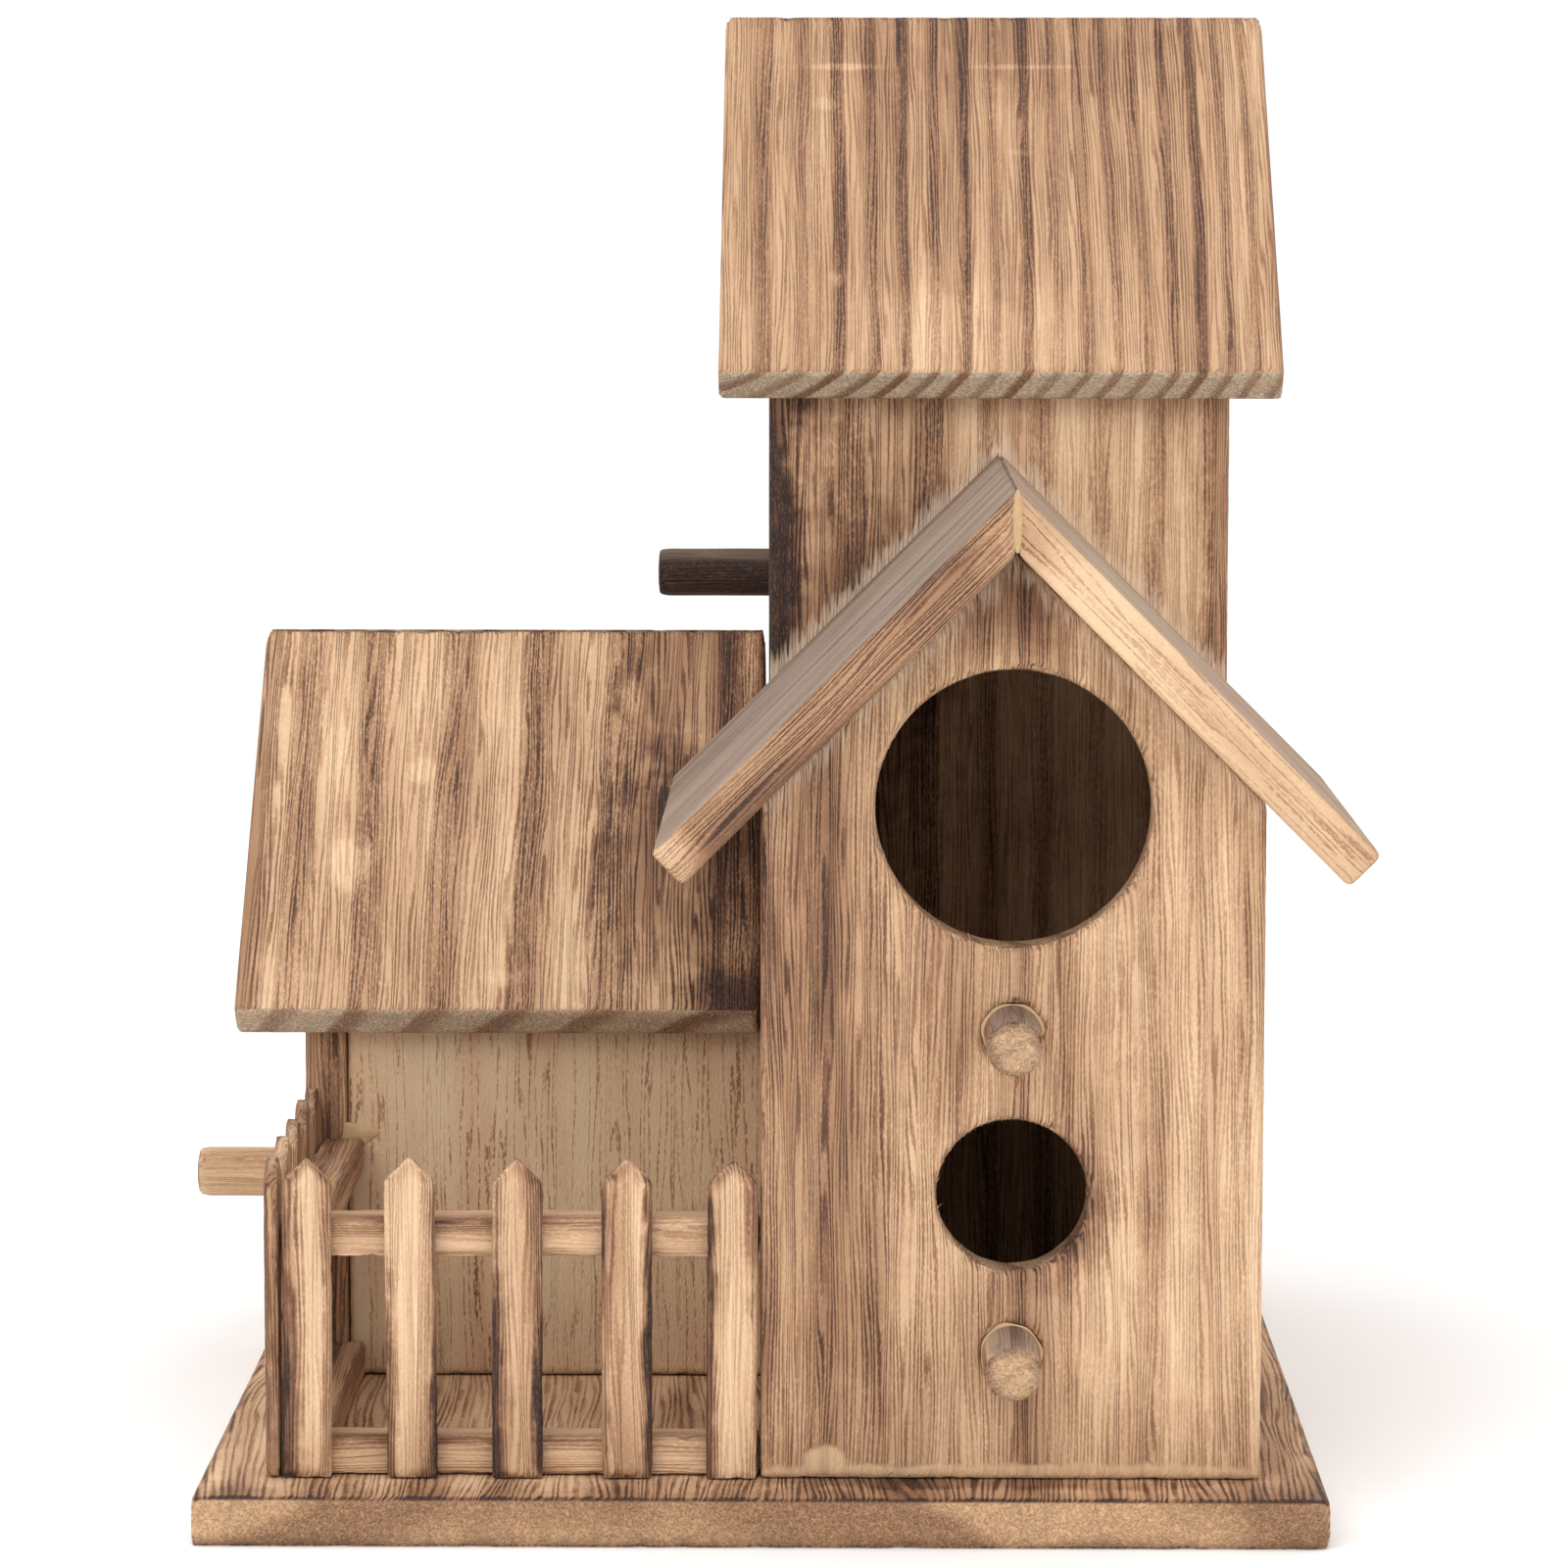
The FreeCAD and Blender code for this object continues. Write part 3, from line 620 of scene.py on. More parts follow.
def make_brad_tree():
    """A brad on every point: a shank with a small flat head and a ground point."""
    tree, start, end = new_group("Brads", "GeometryNodeTree", {
        "Geometry": "geometry", "Diameter": 0.0012, "Length": 0.022,
        "Rotation": (0.0, 0.0, 0.0), "Material": "material",
    }, {"Geometry": "geometry"})
    radius = maths(tree, "MULTIPLY", start["Diameter"], 0.5)
    point_length = maths(tree, "MULTIPLY", start["Diameter"], 1.6)
    shank_length = maths(tree, "SUBTRACT", start["Length"], point_length)
    shank_radius = maths(tree, "MULTIPLY", radius, 0.94)
    shank = add(tree, "GeometryNodeMeshCylinder", {
        "Vertices": BRAD_SIDES, "Radius": shank_radius, "Depth": shank_length},
        fill_type="NGON").outputs["Mesh"]
    shank = lifted(tree, shank, maths(tree, "MULTIPLY", shank_length, 0.5))
    tip = add(tree, "GeometryNodeMeshCone", {
        "Vertices": BRAD_SIDES, "Radius Top": 0.0, "Radius Bottom": shank_radius,
        "Depth": point_length}, fill_type="NGON").outputs["Mesh"]
    tip = lifted(tree, tip, shank_length)
    head = add(tree, "GeometryNodeMeshCylinder", {
        "Vertices": BRAD_SIDES, "Radius": radius,
        "Depth": maths(tree, "MULTIPLY", start["Diameter"], 0.4)},
        fill_type="NGON").outputs["Mesh"]
    head = lifted(tree, head, maths(tree, "MULTIPLY", start["Diameter"], 0.25))
    whole = add(tree, "GeometryNodeJoinGeometry")
    for piece in (shank, tip, head):
        tree.links.new(piece, whole.inputs[0])
    brads = add(tree, "GeometryNodeInstanceOnPoints", {
        "Points": start["Geometry"], "Instance": whole.outputs[0], "Rotation": start["Rotation"]})
    end_tree(tree, end, brads.outputs[0], start["Material"])


FIBRE_RADIUS = 0.09 * MM
SHORTEST_FIBRE = 0.2 * MM
FIBRE_CURL = 0.6 * MM       # a fibre's tip from straight
FIBRE_TILT = 0.6            # radians off the wall's own direction


def make_fibre_tree():
    """Torn fibres standing round the rim of a drilled doorway."""
    tree, start, end = new_group("Torn Fibres", "GeometryNodeTree", {
        "Centre": (0.0, 0.0, 0.0), "Radius": 0.02, "Turn": (0.0, 0.0, 0.0), "Count": 60,
        "Length": 0.0015, "Seed": 1, "Material": "material",
    }, {"Geometry": "geometry"})
    rim = add(tree, "GeometryNodeCurvePrimitiveCircle", {
        "Resolution": 180, "Radius": start["Radius"]}, mode="RADIUS").outputs["Curve"]
    rim = add(tree, "GeometryNodeTransform", {
        "Geometry": rim, "Translation": start["Centre"], "Rotation": start["Turn"]}).outputs[0]
    points = add(tree, "GeometryNodeCurveToPoints", {"Curve": rim, "Count": start["Count"]},
                 mode="COUNT").outputs["Points"]
    fibre = add(tree, "GeometryNodeMeshCone", {
        "Vertices": 5, "Side Segments": 4, "Radius Top": 0.0, "Radius Bottom": FIBRE_RADIUS,
        "Depth": 1.0}, fill_type="NGON").outputs["Mesh"]
    position = add(tree, "GeometryNodeInputPosition").outputs[0]
    high = add(tree, "ShaderNodeSeparateXYZ", {0: position}).outputs["Z"]
    curl = combined(tree, {
        0: maths(tree, "MULTIPLY", maths(tree, "POWER", high, 2.0), FIBRE_CURL)})
    fibre = add(tree, "GeometryNodeSetPosition", {"Geometry": fibre, "Offset": curl}).outputs[0]
    jitter = add(tree, "FunctionNodeRandomValue", {"Seed": start["Seed"]},
                 data_type="FLOAT_VECTOR")
    jitter.inputs[0].default_value = (-FIBRE_TILT, -FIBRE_TILT, 0.0)
    jitter.inputs[1].default_value = (FIBRE_TILT, FIBRE_TILT, 6.28)
    length = add(tree, "FunctionNodeRandomValue", {
        2: 0.08, "Seed": maths(tree, "ADD", start["Seed"], 5.0)}, data_type="FLOAT")
    longest = maths(tree, "MULTIPLY", maths(tree, "POWER", length.outputs[1], 3.0), start["Length"])
    scale = combined(tree, {
        0: 1.0, 1: 1.0, 2: maths(tree, "ADD", longest, SHORTEST_FIBRE)})
    fibres = add(tree, "GeometryNodeInstanceOnPoints", {
        "Points": points, "Instance": fibre, "Rotation": jitter.outputs[0], "Scale": scale})
    end_tree(tree, end, fibres.outputs[0], start["Material"])


# --------------------------------------------------------------------------- making pieces

WELD = 0.002 * MM       # points closer than this are one


def grow(name, mesh, modifiers):
    """An object at the origin whose modifiers are worked out into one plain mesh."""
    source = bpy.data.objects.new(name + "_source", mesh)
    bpy.context.scene.collection.objects.link(source)
    for kind, settings in modifiers:
        modifier = source.modifiers.new(kind, kind)
        if kind == "NODES":
            tree = bpy.data.node_groups[settings["tree"]]
            modifier.node_group = tree
            for item in tree.interface.items_tree:
                if item.name in settings["inputs"] and item.in_out == "INPUT":
                    modifier[item.identifier] = settings["inputs"][item.name]
        else:
            for key, value in settings.items():
                setattr(modifier, key, value)
    bpy.context.view_layer.update()
    graph = bpy.context.evaluated_depsgraph_get()
    made = bpy.data.meshes.new_from_object(source.evaluated_get(graph))
    source.modifiers.clear()
    bpy.data.objects.remove(source)
    if not made.polygons:
        raise RuntimeError(name + " came out empty")
    made.name = name
    piece = bpy.data.objects.new(name, made)
    bpy.context.scene.collection.objects.link(piece)
    return piece


def solid_mesh(node):
    """A node's solid as one closed mesh with its flat faces whole."""
    mesh = bpy.data.meshes.new(node + "_solid")
    work = bmesh.new()
    work.from_mesh(frame["nodes"][node].data)
    bmesh.ops.remove_doubles(work, verts=work.verts, dist=WELD)
    work.to_mesh(mesh)
    work.free()
    return mesh


def worn(name, sharp_mesh, lie, material, cell, seed, wear=1.0, relief=1.0):
    """Meshes a sharp-edged board finely in its own frame, wears it, and turns it back."""
    finish = bpy.context.scene.birdhouse_finish
    turn = Euler([math.radians(angle) for angle in LIES[lie]]).to_matrix().to_4x4()
    back = turn.inverted()
    sharp_mesh.transform(back)
    sharp = bpy.data.objects.new(name + "_sharp", sharp_mesh)
    bpy.context.scene.collection.objects.link(sharp)
    piece = grow(name, sharp_mesh.copy(), [
        ("REMESH", {"mode": "VOXEL", "voxel_size": cell, "adaptivity": 0.0}),
        ("NODES", {"tree": "Worn Board", "inputs": {
            "Sharp Board": sharp, "Edge Wear": finish.edge_wear * wear,
            "Relief": finish.relief * relief, "Grain": UP[:],
            "Seed": (seed * 0.31, seed * 0.17, seed * 0.23), "Material": material}}),
    ])
    bpy.data.objects.remove(sharp)
    piece.data.transform(turn)
    return piece


def body_of(node):
    for body, members in frame["record"]["behaviour"]["bodies"].items():
        if node in members:
            return body
    raise RuntimeError(node + " is in no body")


def settle(piece, nodes):
    """Joins a finished piece to the frame in place of its nodes."""
    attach(piece, body_of(nodes[0]))
    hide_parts(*nodes)


def make_board(node, lie, fine=True, wear=1.0, relief=1.0, seed=0, cell=None, **look):
    """One board or dowel of the house, from its node's solid."""
    finish = bpy.context.scene.birdhouse_finish
    material = wood_material(node + "_wood", node, lie, seed=seed, **look)
    cell = cell or (finish.fine_cell if fine else finish.plain_cell)
    piece = worn(node + "_board", solid_mesh(node), lie, material, cell, seed, wear, relief)
    settle(piece, [node])
    return piece


def ridge_point(node, drop=0.0):
    """The middle of a gable roof board's mitre, lowered by drop."""
    low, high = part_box(node)
    return (high[0], low[1], high[2] - drop)


BASE_CELL = 1.25 * MM
RAIL_CELL = 0.7 * MM
PICKET_CELL = 0.6 * MM
DOWEL_CELL = 0.45 * MM
PICKET_WEAR = 0.8


class BoardOperator(bpy.types.Operator):
    """Shared base for the operators that make pieces."""
    bl_options = {"REGISTER", "UNDO"}


class BIRDHOUSE_OT_base_board(BoardOperator):
    """Make the base board, its top combed by the flame"""
    bl_idname = "birdhouse.base_board"
    bl_label = "Base board"

    def execute(self, context):
        make_board(
            "base_board", "front_to_back", cell=BASE_CELL, wear=1.6, seed=1, toast=0.1, mottle=1.2,
            rings=0.12, ring_spacing=46.0, ring_centre=(-30, 118), lines=0.56, line_pitch=1.3,
            wobble=16.0, stray=2.4, edge_burn=0.5, edge_reach=3.0, edge_patch=0.3,
            end_tone=0.06, end_warmth=1.0, end_rings=0.8,
            patches=(
                ((0.5, 0.0, 1.0), (900, 2.2, 1.4), 0.6), ((0.5, 0.0, 1.0), (900, 13, 3), 0.24),
                ((0.0, 0.5, 1.0), (2.4, 900, 1.4), 0.5), ((1.0, 0.5, 1.0), (2.4, 900, 1.4), 0.5),
                ((0.69, 0.052, 1.0), (62, 7, 3), 0.4)))
        return {"FINISHED"}


class BIRDHOUSE_OT_front_house(BoardOperator):
    """Make the front house's walls and its inner floor"""
    bl_idname = "birdhouse.front_house"
    bl_label = "Front house"

    def execute(self, context):
        under_ridge = ridge_point("gable_roof_left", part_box("gable_roof_left")[1][2]
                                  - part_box("front_wall")[1][2])
        make_board(
            "front_wall", "facing_front", seed=2, toast=0.28, mottle=1.0, rings=0.14,
            ring_spacing=7.5, ring_centre=(-70, -40), lines=0.5, edge_burn=0.16, edge_reach=1.6,
            end_tone=0.35, end_warmth=0.8, joint=under_ridge, joint_reach=4.4,
            joint_paleness=0.55,
            patches=(
                ((0.08, 0.0, 0.35), (26, 300, 90), 0.16),
                ((0.9, 0.0, 0.5), (24, 300, 140), -0.16),
                ((0.5, 0.0, 0.95), (13, 300, 14), 0.3),
                ((0.57, 0.0, 0.3), (16, 300, 18), 0.45)),
            glued=(((0.5, 0.0, 0.0), (70, 300, 3.2)), ((0.13, 0.0, 0.01), (4, 300, 4.6))))
        for side, node in (("left", "front_house_left_wall"), ("right", "front_house_right_wall")):
            make_board(node, "facing_side", seed=3 if side == "left" else 4, toast=0.36,
                       rings=0.3, ring_spacing=8.0, ring_centre=(50, 40), edge_burn=0.35)
        make_board("inner_floor", "left_to_right", fine=False, seed=5, bare=True, toast=0.2,
                   rings=0.2)
        return {"FINISHED"}


class BIRDHOUSE_OT_gable_roof(BoardOperator):
    """Make the two mitred boards of the gable roof"""
    bl_idname = "birdhouse.gable_roof"
    bl_label = "Gable roof"

    def execute(self, context):
        make_board(
            "gable_roof_left", "left_slope", wear=0.15, seed=6, toast=0.52, mottle=1.2, rings=0.24,
            greyed=0.9, ring_spacing=6.5, ring_centre=(6, 120), lines=0.5, line_pitch=0.75,
            edge_burn=0.04,
            patches=(
                ((0.05, 0.0, 0.05), (9, 300, 9), -0.3),
                ((0.95, 0.0, 0.95), (14, 40, 14), -0.3)))
        make_board(
            "gable_roof_right", "right_slope", wear=0.15, seed=7, toast=0.1, mottle=0.7, rings=0.14,
            greyed=0.7, ring_spacing=6.0, ring_centre=(-40, 70), lines=0.4, line_pitch=1.5,
            sparseness=0.75, edge_burn=0.03,
            patches=(
                ((0.0, 0.0, 1.0), (26, 300, 26), 0.26),
                ((0.5, 0.6, 0.5), (300, 6, 300), 0.1)))
        return {"FINISHED"}


class BIRDHOUSE_OT_tower_walls(BoardOperator):
    """Make the tower's four walls"""
    bl_idname = "birdhouse.tower_walls"
    bl_label = "Tower walls"

    def execute(self, context):
        over_ridge = ridge_point("gable_roof_left")
        make_board(
            "tower_front_wall", "facing_front", seed=8, toast=0.22, mottle=0.9, rings=0.4,
            ring_spacing=9.5, ring_centre=(-60, -50), lines=0.42, edge_burn=0.2,
            joint=over_ridge, joint_reach=3.4, joint_paleness=0.65,
            patches=(
                ((0.0, 0.0, 0.75), (10, 300, 100), 0.5),
                ((0.16, 0.0, 0.68), (32, 300, 62), 0.42),
                ((0.7, 0.0, 0.8), (22, 300, 120), -0.16),
                ((0.99, 0.0, 0.75), (5, 300, 120), 0.3)))
        make_board(
            "tower_left_wall", "facing_side", seed=9, toast=0.38, rings=0.35, ring_spacing=9.0,
            ring_centre=(60, 40),
            patches=(
                ((0.0, 0.35, 0.62), (300, 34, 40), 0.3),
                ((0.0, 0.9, 0.5), (300, 30, 90), 0.2)))
        make_board("tower_right_wall", "facing_side", seed=10, toast=0.32, rings=0.4,
                   ring_spacing=9.0, ring_centre=(-50, 40),
                   patches=(((1.0, 0.1, 0.8), (300, 26, 70), 0.3),))
        make_board("tower_back_wall", "facing_front", seed=11, toast=0.32, rings=0.4,
                   ring_spacing=8.0, ring_centre=(30, 60),
                   patches=(
                       ((0.1, 1.0, 0.3), (26, 300, 60), 0.3),
                       ((0.7, 1.0, 0.7), (24, 300, 70), -0.15)))
        return {"FINISHED"}


class BIRDHOUSE_OT_tower_roof(BoardOperator):
    """Make the tower's two roof boards"""
    bl_idname = "birdhouse.tower_roof"
    bl_label = "Tower roof"

    def execute(self, context):
        make_board(
            "tower_roof_front", "front_slope", seed=12, toast=0.34, mottle=0.5, rings=0.46,
            ring_spacing=5.2, ring_centre=(-84, -52), lines=0.42, line_pitch=0.72, wobble=3.0,
            edge_burn=0.1, edge_reach=1.6, end_warmth=0.0, end_rings=1.2, wear=1.4,
            patches=(
                ((0.55, 0.7, 0.95), (48, 60, 20), 0.14),
                ((0.42, 0.1, 0.12), (34, 30, 22), -0.16),
                ((0.54, 0.62, 0.62), (6, 2, 2), -0.4), ((0.21, 0.28, 0.28), (3, 4, 4), -0.35),
                ((0.19, 0.75, 0.75), (4, 3, 3), -0.14),
                ((0.22, 0.86, 0.86), (13, 6, 0.9), -0.2),
                ((0.55, 0.86, 0.86), (16, 6, 0.8), -0.2)))
        make_board("tower_roof_back", "back_slope", seed=13, toast=0.34, rings=0.45,
                   ring_spacing=6.0, ring_centre=(70, -50))
        return {"FINISHED"}


class BIRDHOUSE_OT_wing_walls(BoardOperator):
    """Make the wing's walls, the front one left unscorched"""
    bl_idname = "birdhouse.wing_walls"
    bl_label = "Wing walls"

    def execute(self, context):
        make_board("wing_front_wall", "facing_front", seed=14, bare=True, toast=0.04, mottle=0.8,
                   rings=0.16, ring_spacing=11.0, ring_centre=(20, 60), lines=0.6, line_pitch=2.2,
                   sparseness=0.95, edge_burn=0.1)
        make_board("wing_left_wall", "facing_side", seed=15, toast=0.33, rings=0.35,
                   ring_spacing=8.0, ring_centre=(-40, 50),
                   patches=(((0.0, 0.8, 0.2), (300, 40, 30), 0.25),))
        make_board("wing_back_wall", "facing_front", seed=16, toast=0.33, rings=0.35,
                   ring_spacing=7.0, ring_centre=(50, -40))
        return {"FINISHED"}


class BIRDHOUSE_OT_wing_roof(BoardOperator):
    """Make the wing's two roof boards"""
    bl_idname = "birdhouse.wing_roof"
    bl_label = "Wing roof"

    def execute(self, context):
        make_board(
            "wing_roof_front", "front_slope", seed=17, toast=0.2, mottle=0.75, rings=0.46,
            ring_spacing=12.5, ring_centre=(84, 74), lines=0.54, line_pitch=0.9, edge_burn=0.2,
            wear=1.4, patches=(
                ((0.0, 0.5, 0.5), (7, 300, 300), 0.3),
                ((0.87, 0.85, 0.85), (20, 50, 50), 0.3),
                ((0.97, 0.9, 0.9), (3, 24, 24), -0.5),
                ((0.2, 0.4, 0.4), (6, 10, 10), -0.3), ((0.33, 0.63, 0.63), (4, 5, 5), -0.4),
                ((0.14, 0.12, 0.12), (7, 4, 4), -0.4), ((0.52, 0.12, 0.12), (10, 5, 5), -0.3),
                ((0.74, 0.82, 0.82), (3, 7, 7), -0.3),
                ((0.82, 0.4, 0.45), (20, 44, 36), 0.34),
                ((0.98, 0.05, 0.05), (20, 14, 14), 0.5)))
        make_board("wing_roof_back", "back_slope", seed=18, toast=0.32, rings=0.45,
                   ring_spacing=7.0, ring_centre=(-60, -50))
        return {"FINISHED"}


class BIRDHOUSE_OT_fence(BoardOperator):
    """Make both rows of pickets and their rails"""
    bl_idname = "birdhouse.fence"
    bl_label = "Fence"

    def picket_row(self, row, lie, material, seed, turn):
        sizes = bpy.context.scene.birdhouse_sizes
        nodes = sorted(name for name in frame["nodes"] if name.startswith(row + "_picket_"))
        first_low, first_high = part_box(nodes[0])
        last_low, last_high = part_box(nodes[-1])
        first = (Vector(first_low) + Vector(first_high)) / 2
        last = (Vector(last_low) + Vector(last_high)) / 2
        first.z = last.z = first_low[2]
        size = Vector(first_high) - Vector(first_low)
        width, thickness = max(size.x, size.y), min(size.x, size.y)
        step = (last - first) / (len(nodes) - 1)
        sharp = grow(row + "_pickets_sharp", bpy.data.meshes.new(row), [
            ("NODES", {"tree": "Picket Row", "inputs": {
                "Count": len(nodes), "First": first[:], "Step": step[:],
                "Width": width, "Thickness": thickness, "Height": size.z, "Point": width / 2,
                "Turn": turn, "Unevenness": sizes.picket_unevenness, "Lean": sizes.picket_lean,
                "Seed": seed, "Material": material}})])
        mesh = sharp.data.copy()
        bpy.data.objects.remove(sharp)
        piece = worn(row + "_pickets", mesh, lie, material, PICKET_CELL, seed, PICKET_WEAR)
        settle(piece, nodes)

    def char_strips(self, node, next_node):
        """Charred strips on the front pickets: picket, side, height, width, length, strength."""
        low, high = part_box(node)
        step = (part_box(next_node)[0][0] - low[0]) / (high[0] - low[0])
        strips = (
            (1, 0, 0.3, 5.5, 60, 0.5), (2, 0, 0.15, 3.0, 40, 0.5), (2, 1, 0.5, 1.8, 70, 0.4),
            (3, 0, 0.2, 4.0, 50, 0.34), (3, 1, 0.1, 2.6, 45, 0.5), (4, 1, 0.3, 2.8, 60, 0.45),
            (5, 0, 0.35, 2.6, 60, 0.5), (5, 1, 0.85, 3.4, 30, 0.35))
        return [(((picket - 3) * step + side, 0.0, height), (width, 300, length), strength)
                for picket, side, height, width, length, strength in strips]

    def execute(self, context):
        front = wood_material("front_picket_wood", "front_picket_3", "facing_front", seed=19,
                              toast=0.14, mottle=1.0, rings=0.2, ring_spacing=5.0, lines=0.36,
                              edge_burn=0.48, edge_reach=2.6, edge_patch=0.7,
                              patches=self.char_strips("front_picket_3", "front_picket_4"))
        self.picket_row("front", "facing_front", front, 19, 0.0)
        side = wood_material("side_picket_wood", "side_picket_3", "facing_side", seed=20,
                             toast=0.27, mottle=1.1, rings=0.2, ring_spacing=5.0, lines=0.34,
                             edge_burn=0.5, edge_reach=2.4, edge_patch=0.7)
        self.picket_row("side", "facing_side", side, 20, math.radians(90))
        for seed, node in enumerate(("lower_front_rail", "upper_front_rail"), 21):
            make_board(node, "left_to_right", cell=RAIL_CELL, seed=seed, toast=0.16, rings=0.25,
                       ring_spacing=5.0, lines=0.24, edge_burn=0.4, edge_reach=2.0, edge_patch=0.7)
        for seed, node in enumerate(("lower_side_rail", "upper_side_rail"), 23):
            make_board(node, "front_to_back", cell=RAIL_CELL, seed=seed, toast=0.34, rings=0.3,
                       ring_spacing=5.0, lines=0.36, edge_burn=0.4, edge_reach=2.0, edge_patch=0.7)
        return {"FINISHED"}


class BIRDHOUSE_OT_perches(BoardOperator):
    """Make the four dowel perches"""
    bl_idname = "birdhouse.perches"
    bl_label = "Perches"

    def execute(self, context):
        for seed, node in enumerate(("upper_front_perch", "lower_front_perch"), 25):
            make_board(node, "front_to_back", cell=DOWEL_CELL, seed=seed, toast=0.3, mottle=1.0,
                       greyed=0.8, rings=0.3, ring_spacing=4.0, ring_centre=(6, 9), lines=0.3,
                       end_tone=0.04, end_warmth=0.8, end_rings=0.2, wobble=3.0, wear=1.2,
                       relief=1.6,
                       patches=(((0.5, 0.6, 1.0), (6, 14, 3), 0.25),))
        make_board("tower_perch", "left_to_right", cell=DOWEL_CELL, seed=27, toast=0.98,
                   mottle=0.5, rings=0.0, ring_spacing=4.0, lines=0.1, pores=0.12, greyed=0.3,
                   end_tone=0.8, wear=1.4, relief=2.4)
        make_board("wing_perch", "left_to_right", cell=DOWEL_CELL, seed=28, toast=0.06, mottle=0.6,
                   rings=0.3, ring_spacing=3.0, lines=0.24, edge_burn=0.05, end_tone=0.1,
                   end_warmth=0.6, wear=1.2)
        return {"FINISHED"}


class BIRDHOUSE_OT_clean_outs(BoardOperator):
    """Make the clean-out covers, and finish their screws"""
    bl_idname = "birdhouse.clean_outs"
    bl_label = "Clean-out covers"

    def execute(self, context):
        for seed, node in enumerate(("tower_cleanout_cover", "wing_cleanout_cover"), 29):
            make_board(node, "facing_front", cell=RAIL_CELL, seed=seed, toast=0.26, rings=0.35,
                       ring_spacing=6.0, edge_burn=0.35, edge_patch=0.7)
        metal = bpy.data.materials["zinc_steel"]
        for node in ("tower_cover_screw", "wing_cover_screw"):
            for slot in frame["nodes"][node].material_slots:
                slot.link = "OBJECT"
                slot.material = metal
        return {"FINISHED"}


class BIRDHOUSE_OT_brads(BoardOperator):
    """Make the brads in the base board and the back wall"""
    bl_idname = "birdhouse.brads"
    bl_label = "Brads"

    def execute(self, context):
        metal = bpy.data.materials["zinc_steel"]
        for node, axis, rotation in (("base_brads", 2, (0, 0, 0)),
                                     ("back_brads", 1, (math.radians(90), 0, 0))):
            mesh = solid_mesh(node)
            low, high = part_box(node)
            mouth = low[axis] if axis == 2 else high[axis]
            points = self.brad_places(mesh, axis, mouth)
            cloud = bpy.data.meshes.new(node + "_points")
            cloud.from_pydata(points, [], [])
            diameter = self.brad_width(mesh)
            piece = grow(node + "_set", cloud, [("NODES", {"tree": "Brads", "inputs": {
                "Diameter": diameter, "Length": high[axis] - low[axis], "Rotation": rotation,
                "Material": metal}})])
            settle(piece, [node])
        return {"FINISHED"}

    def loose_parts(self, mesh):
        work = bmesh.new()
        work.from_mesh(mesh)
        unseen = set(work.verts)
        parts = []
        while unseen:
            queue = [unseen.pop()]
            part = []
            while queue:
                vertex = queue.pop()
                part.append(vertex.co.copy())
                for edge in vertex.link_edges:
                    other = edge.other_vert(vertex)
                    if other in unseen:
                        unseen.remove(other)
                        queue.append(other)
            parts.append(part)
        work.free()
        return parts

    def brad_places(self, mesh, axis, mouth):
        places = []
        for part in self.loose_parts(mesh):
            middle = sum(part, Vector()) / len(part)
            middle[axis] = mouth
            places.append(middle)
        return sorted(places, key=lambda place: tuple(round(value, 5) for value in place))

    def brad_width(self, mesh):
        part = self.loose_parts(mesh)[0]
        return max(point.x for point in part) - min(point.x for point in part)


OPENING_SHARE = 0.68         # an opening's recorded half width, as a share of its hole's radius
FIBRE_ROOT = 0.4 * MM        # behind the wall's face
FIBRE_GAP = 0.1 * MM         # outside the hole's rim
SMEAR_WIDTH = 5.6            # millimetres from its middle, and so are the next two
SMEAR_DEPTH = 0.5
SMEAR_HEIGHT = 2.6
SMEAR_INSET = 3.4 * MM       # from the upper side rail's end
SMEAR_RISE = 0.2 * MM        # over the rail
BEAD_STEPS = 48              # around a perch
BEAD_SIDES = 10              # around the bead itself
BEAD_RADIUS = 0.42           # millimetres, and so are the two waves along it
BEAD_WAVE = 0.16
BEAD_RIPPLE = 0.12
BEAD_SINK = 0.1 * MM         # into the perch
MITRE_HEIGHT = 12.0 * MM     # of the gable boards' mitre, up the front face
MITRE_GLUE_WIDTH = 1.0 * MM  # from its middle
MITRE_GLUE_DEPTH = 0.5 * MM
MITRE_GLUE_SINK = 0.55 * MM  # behind the boards' faces
MITRE_GLUE_MARGIN = 0.2 * MM


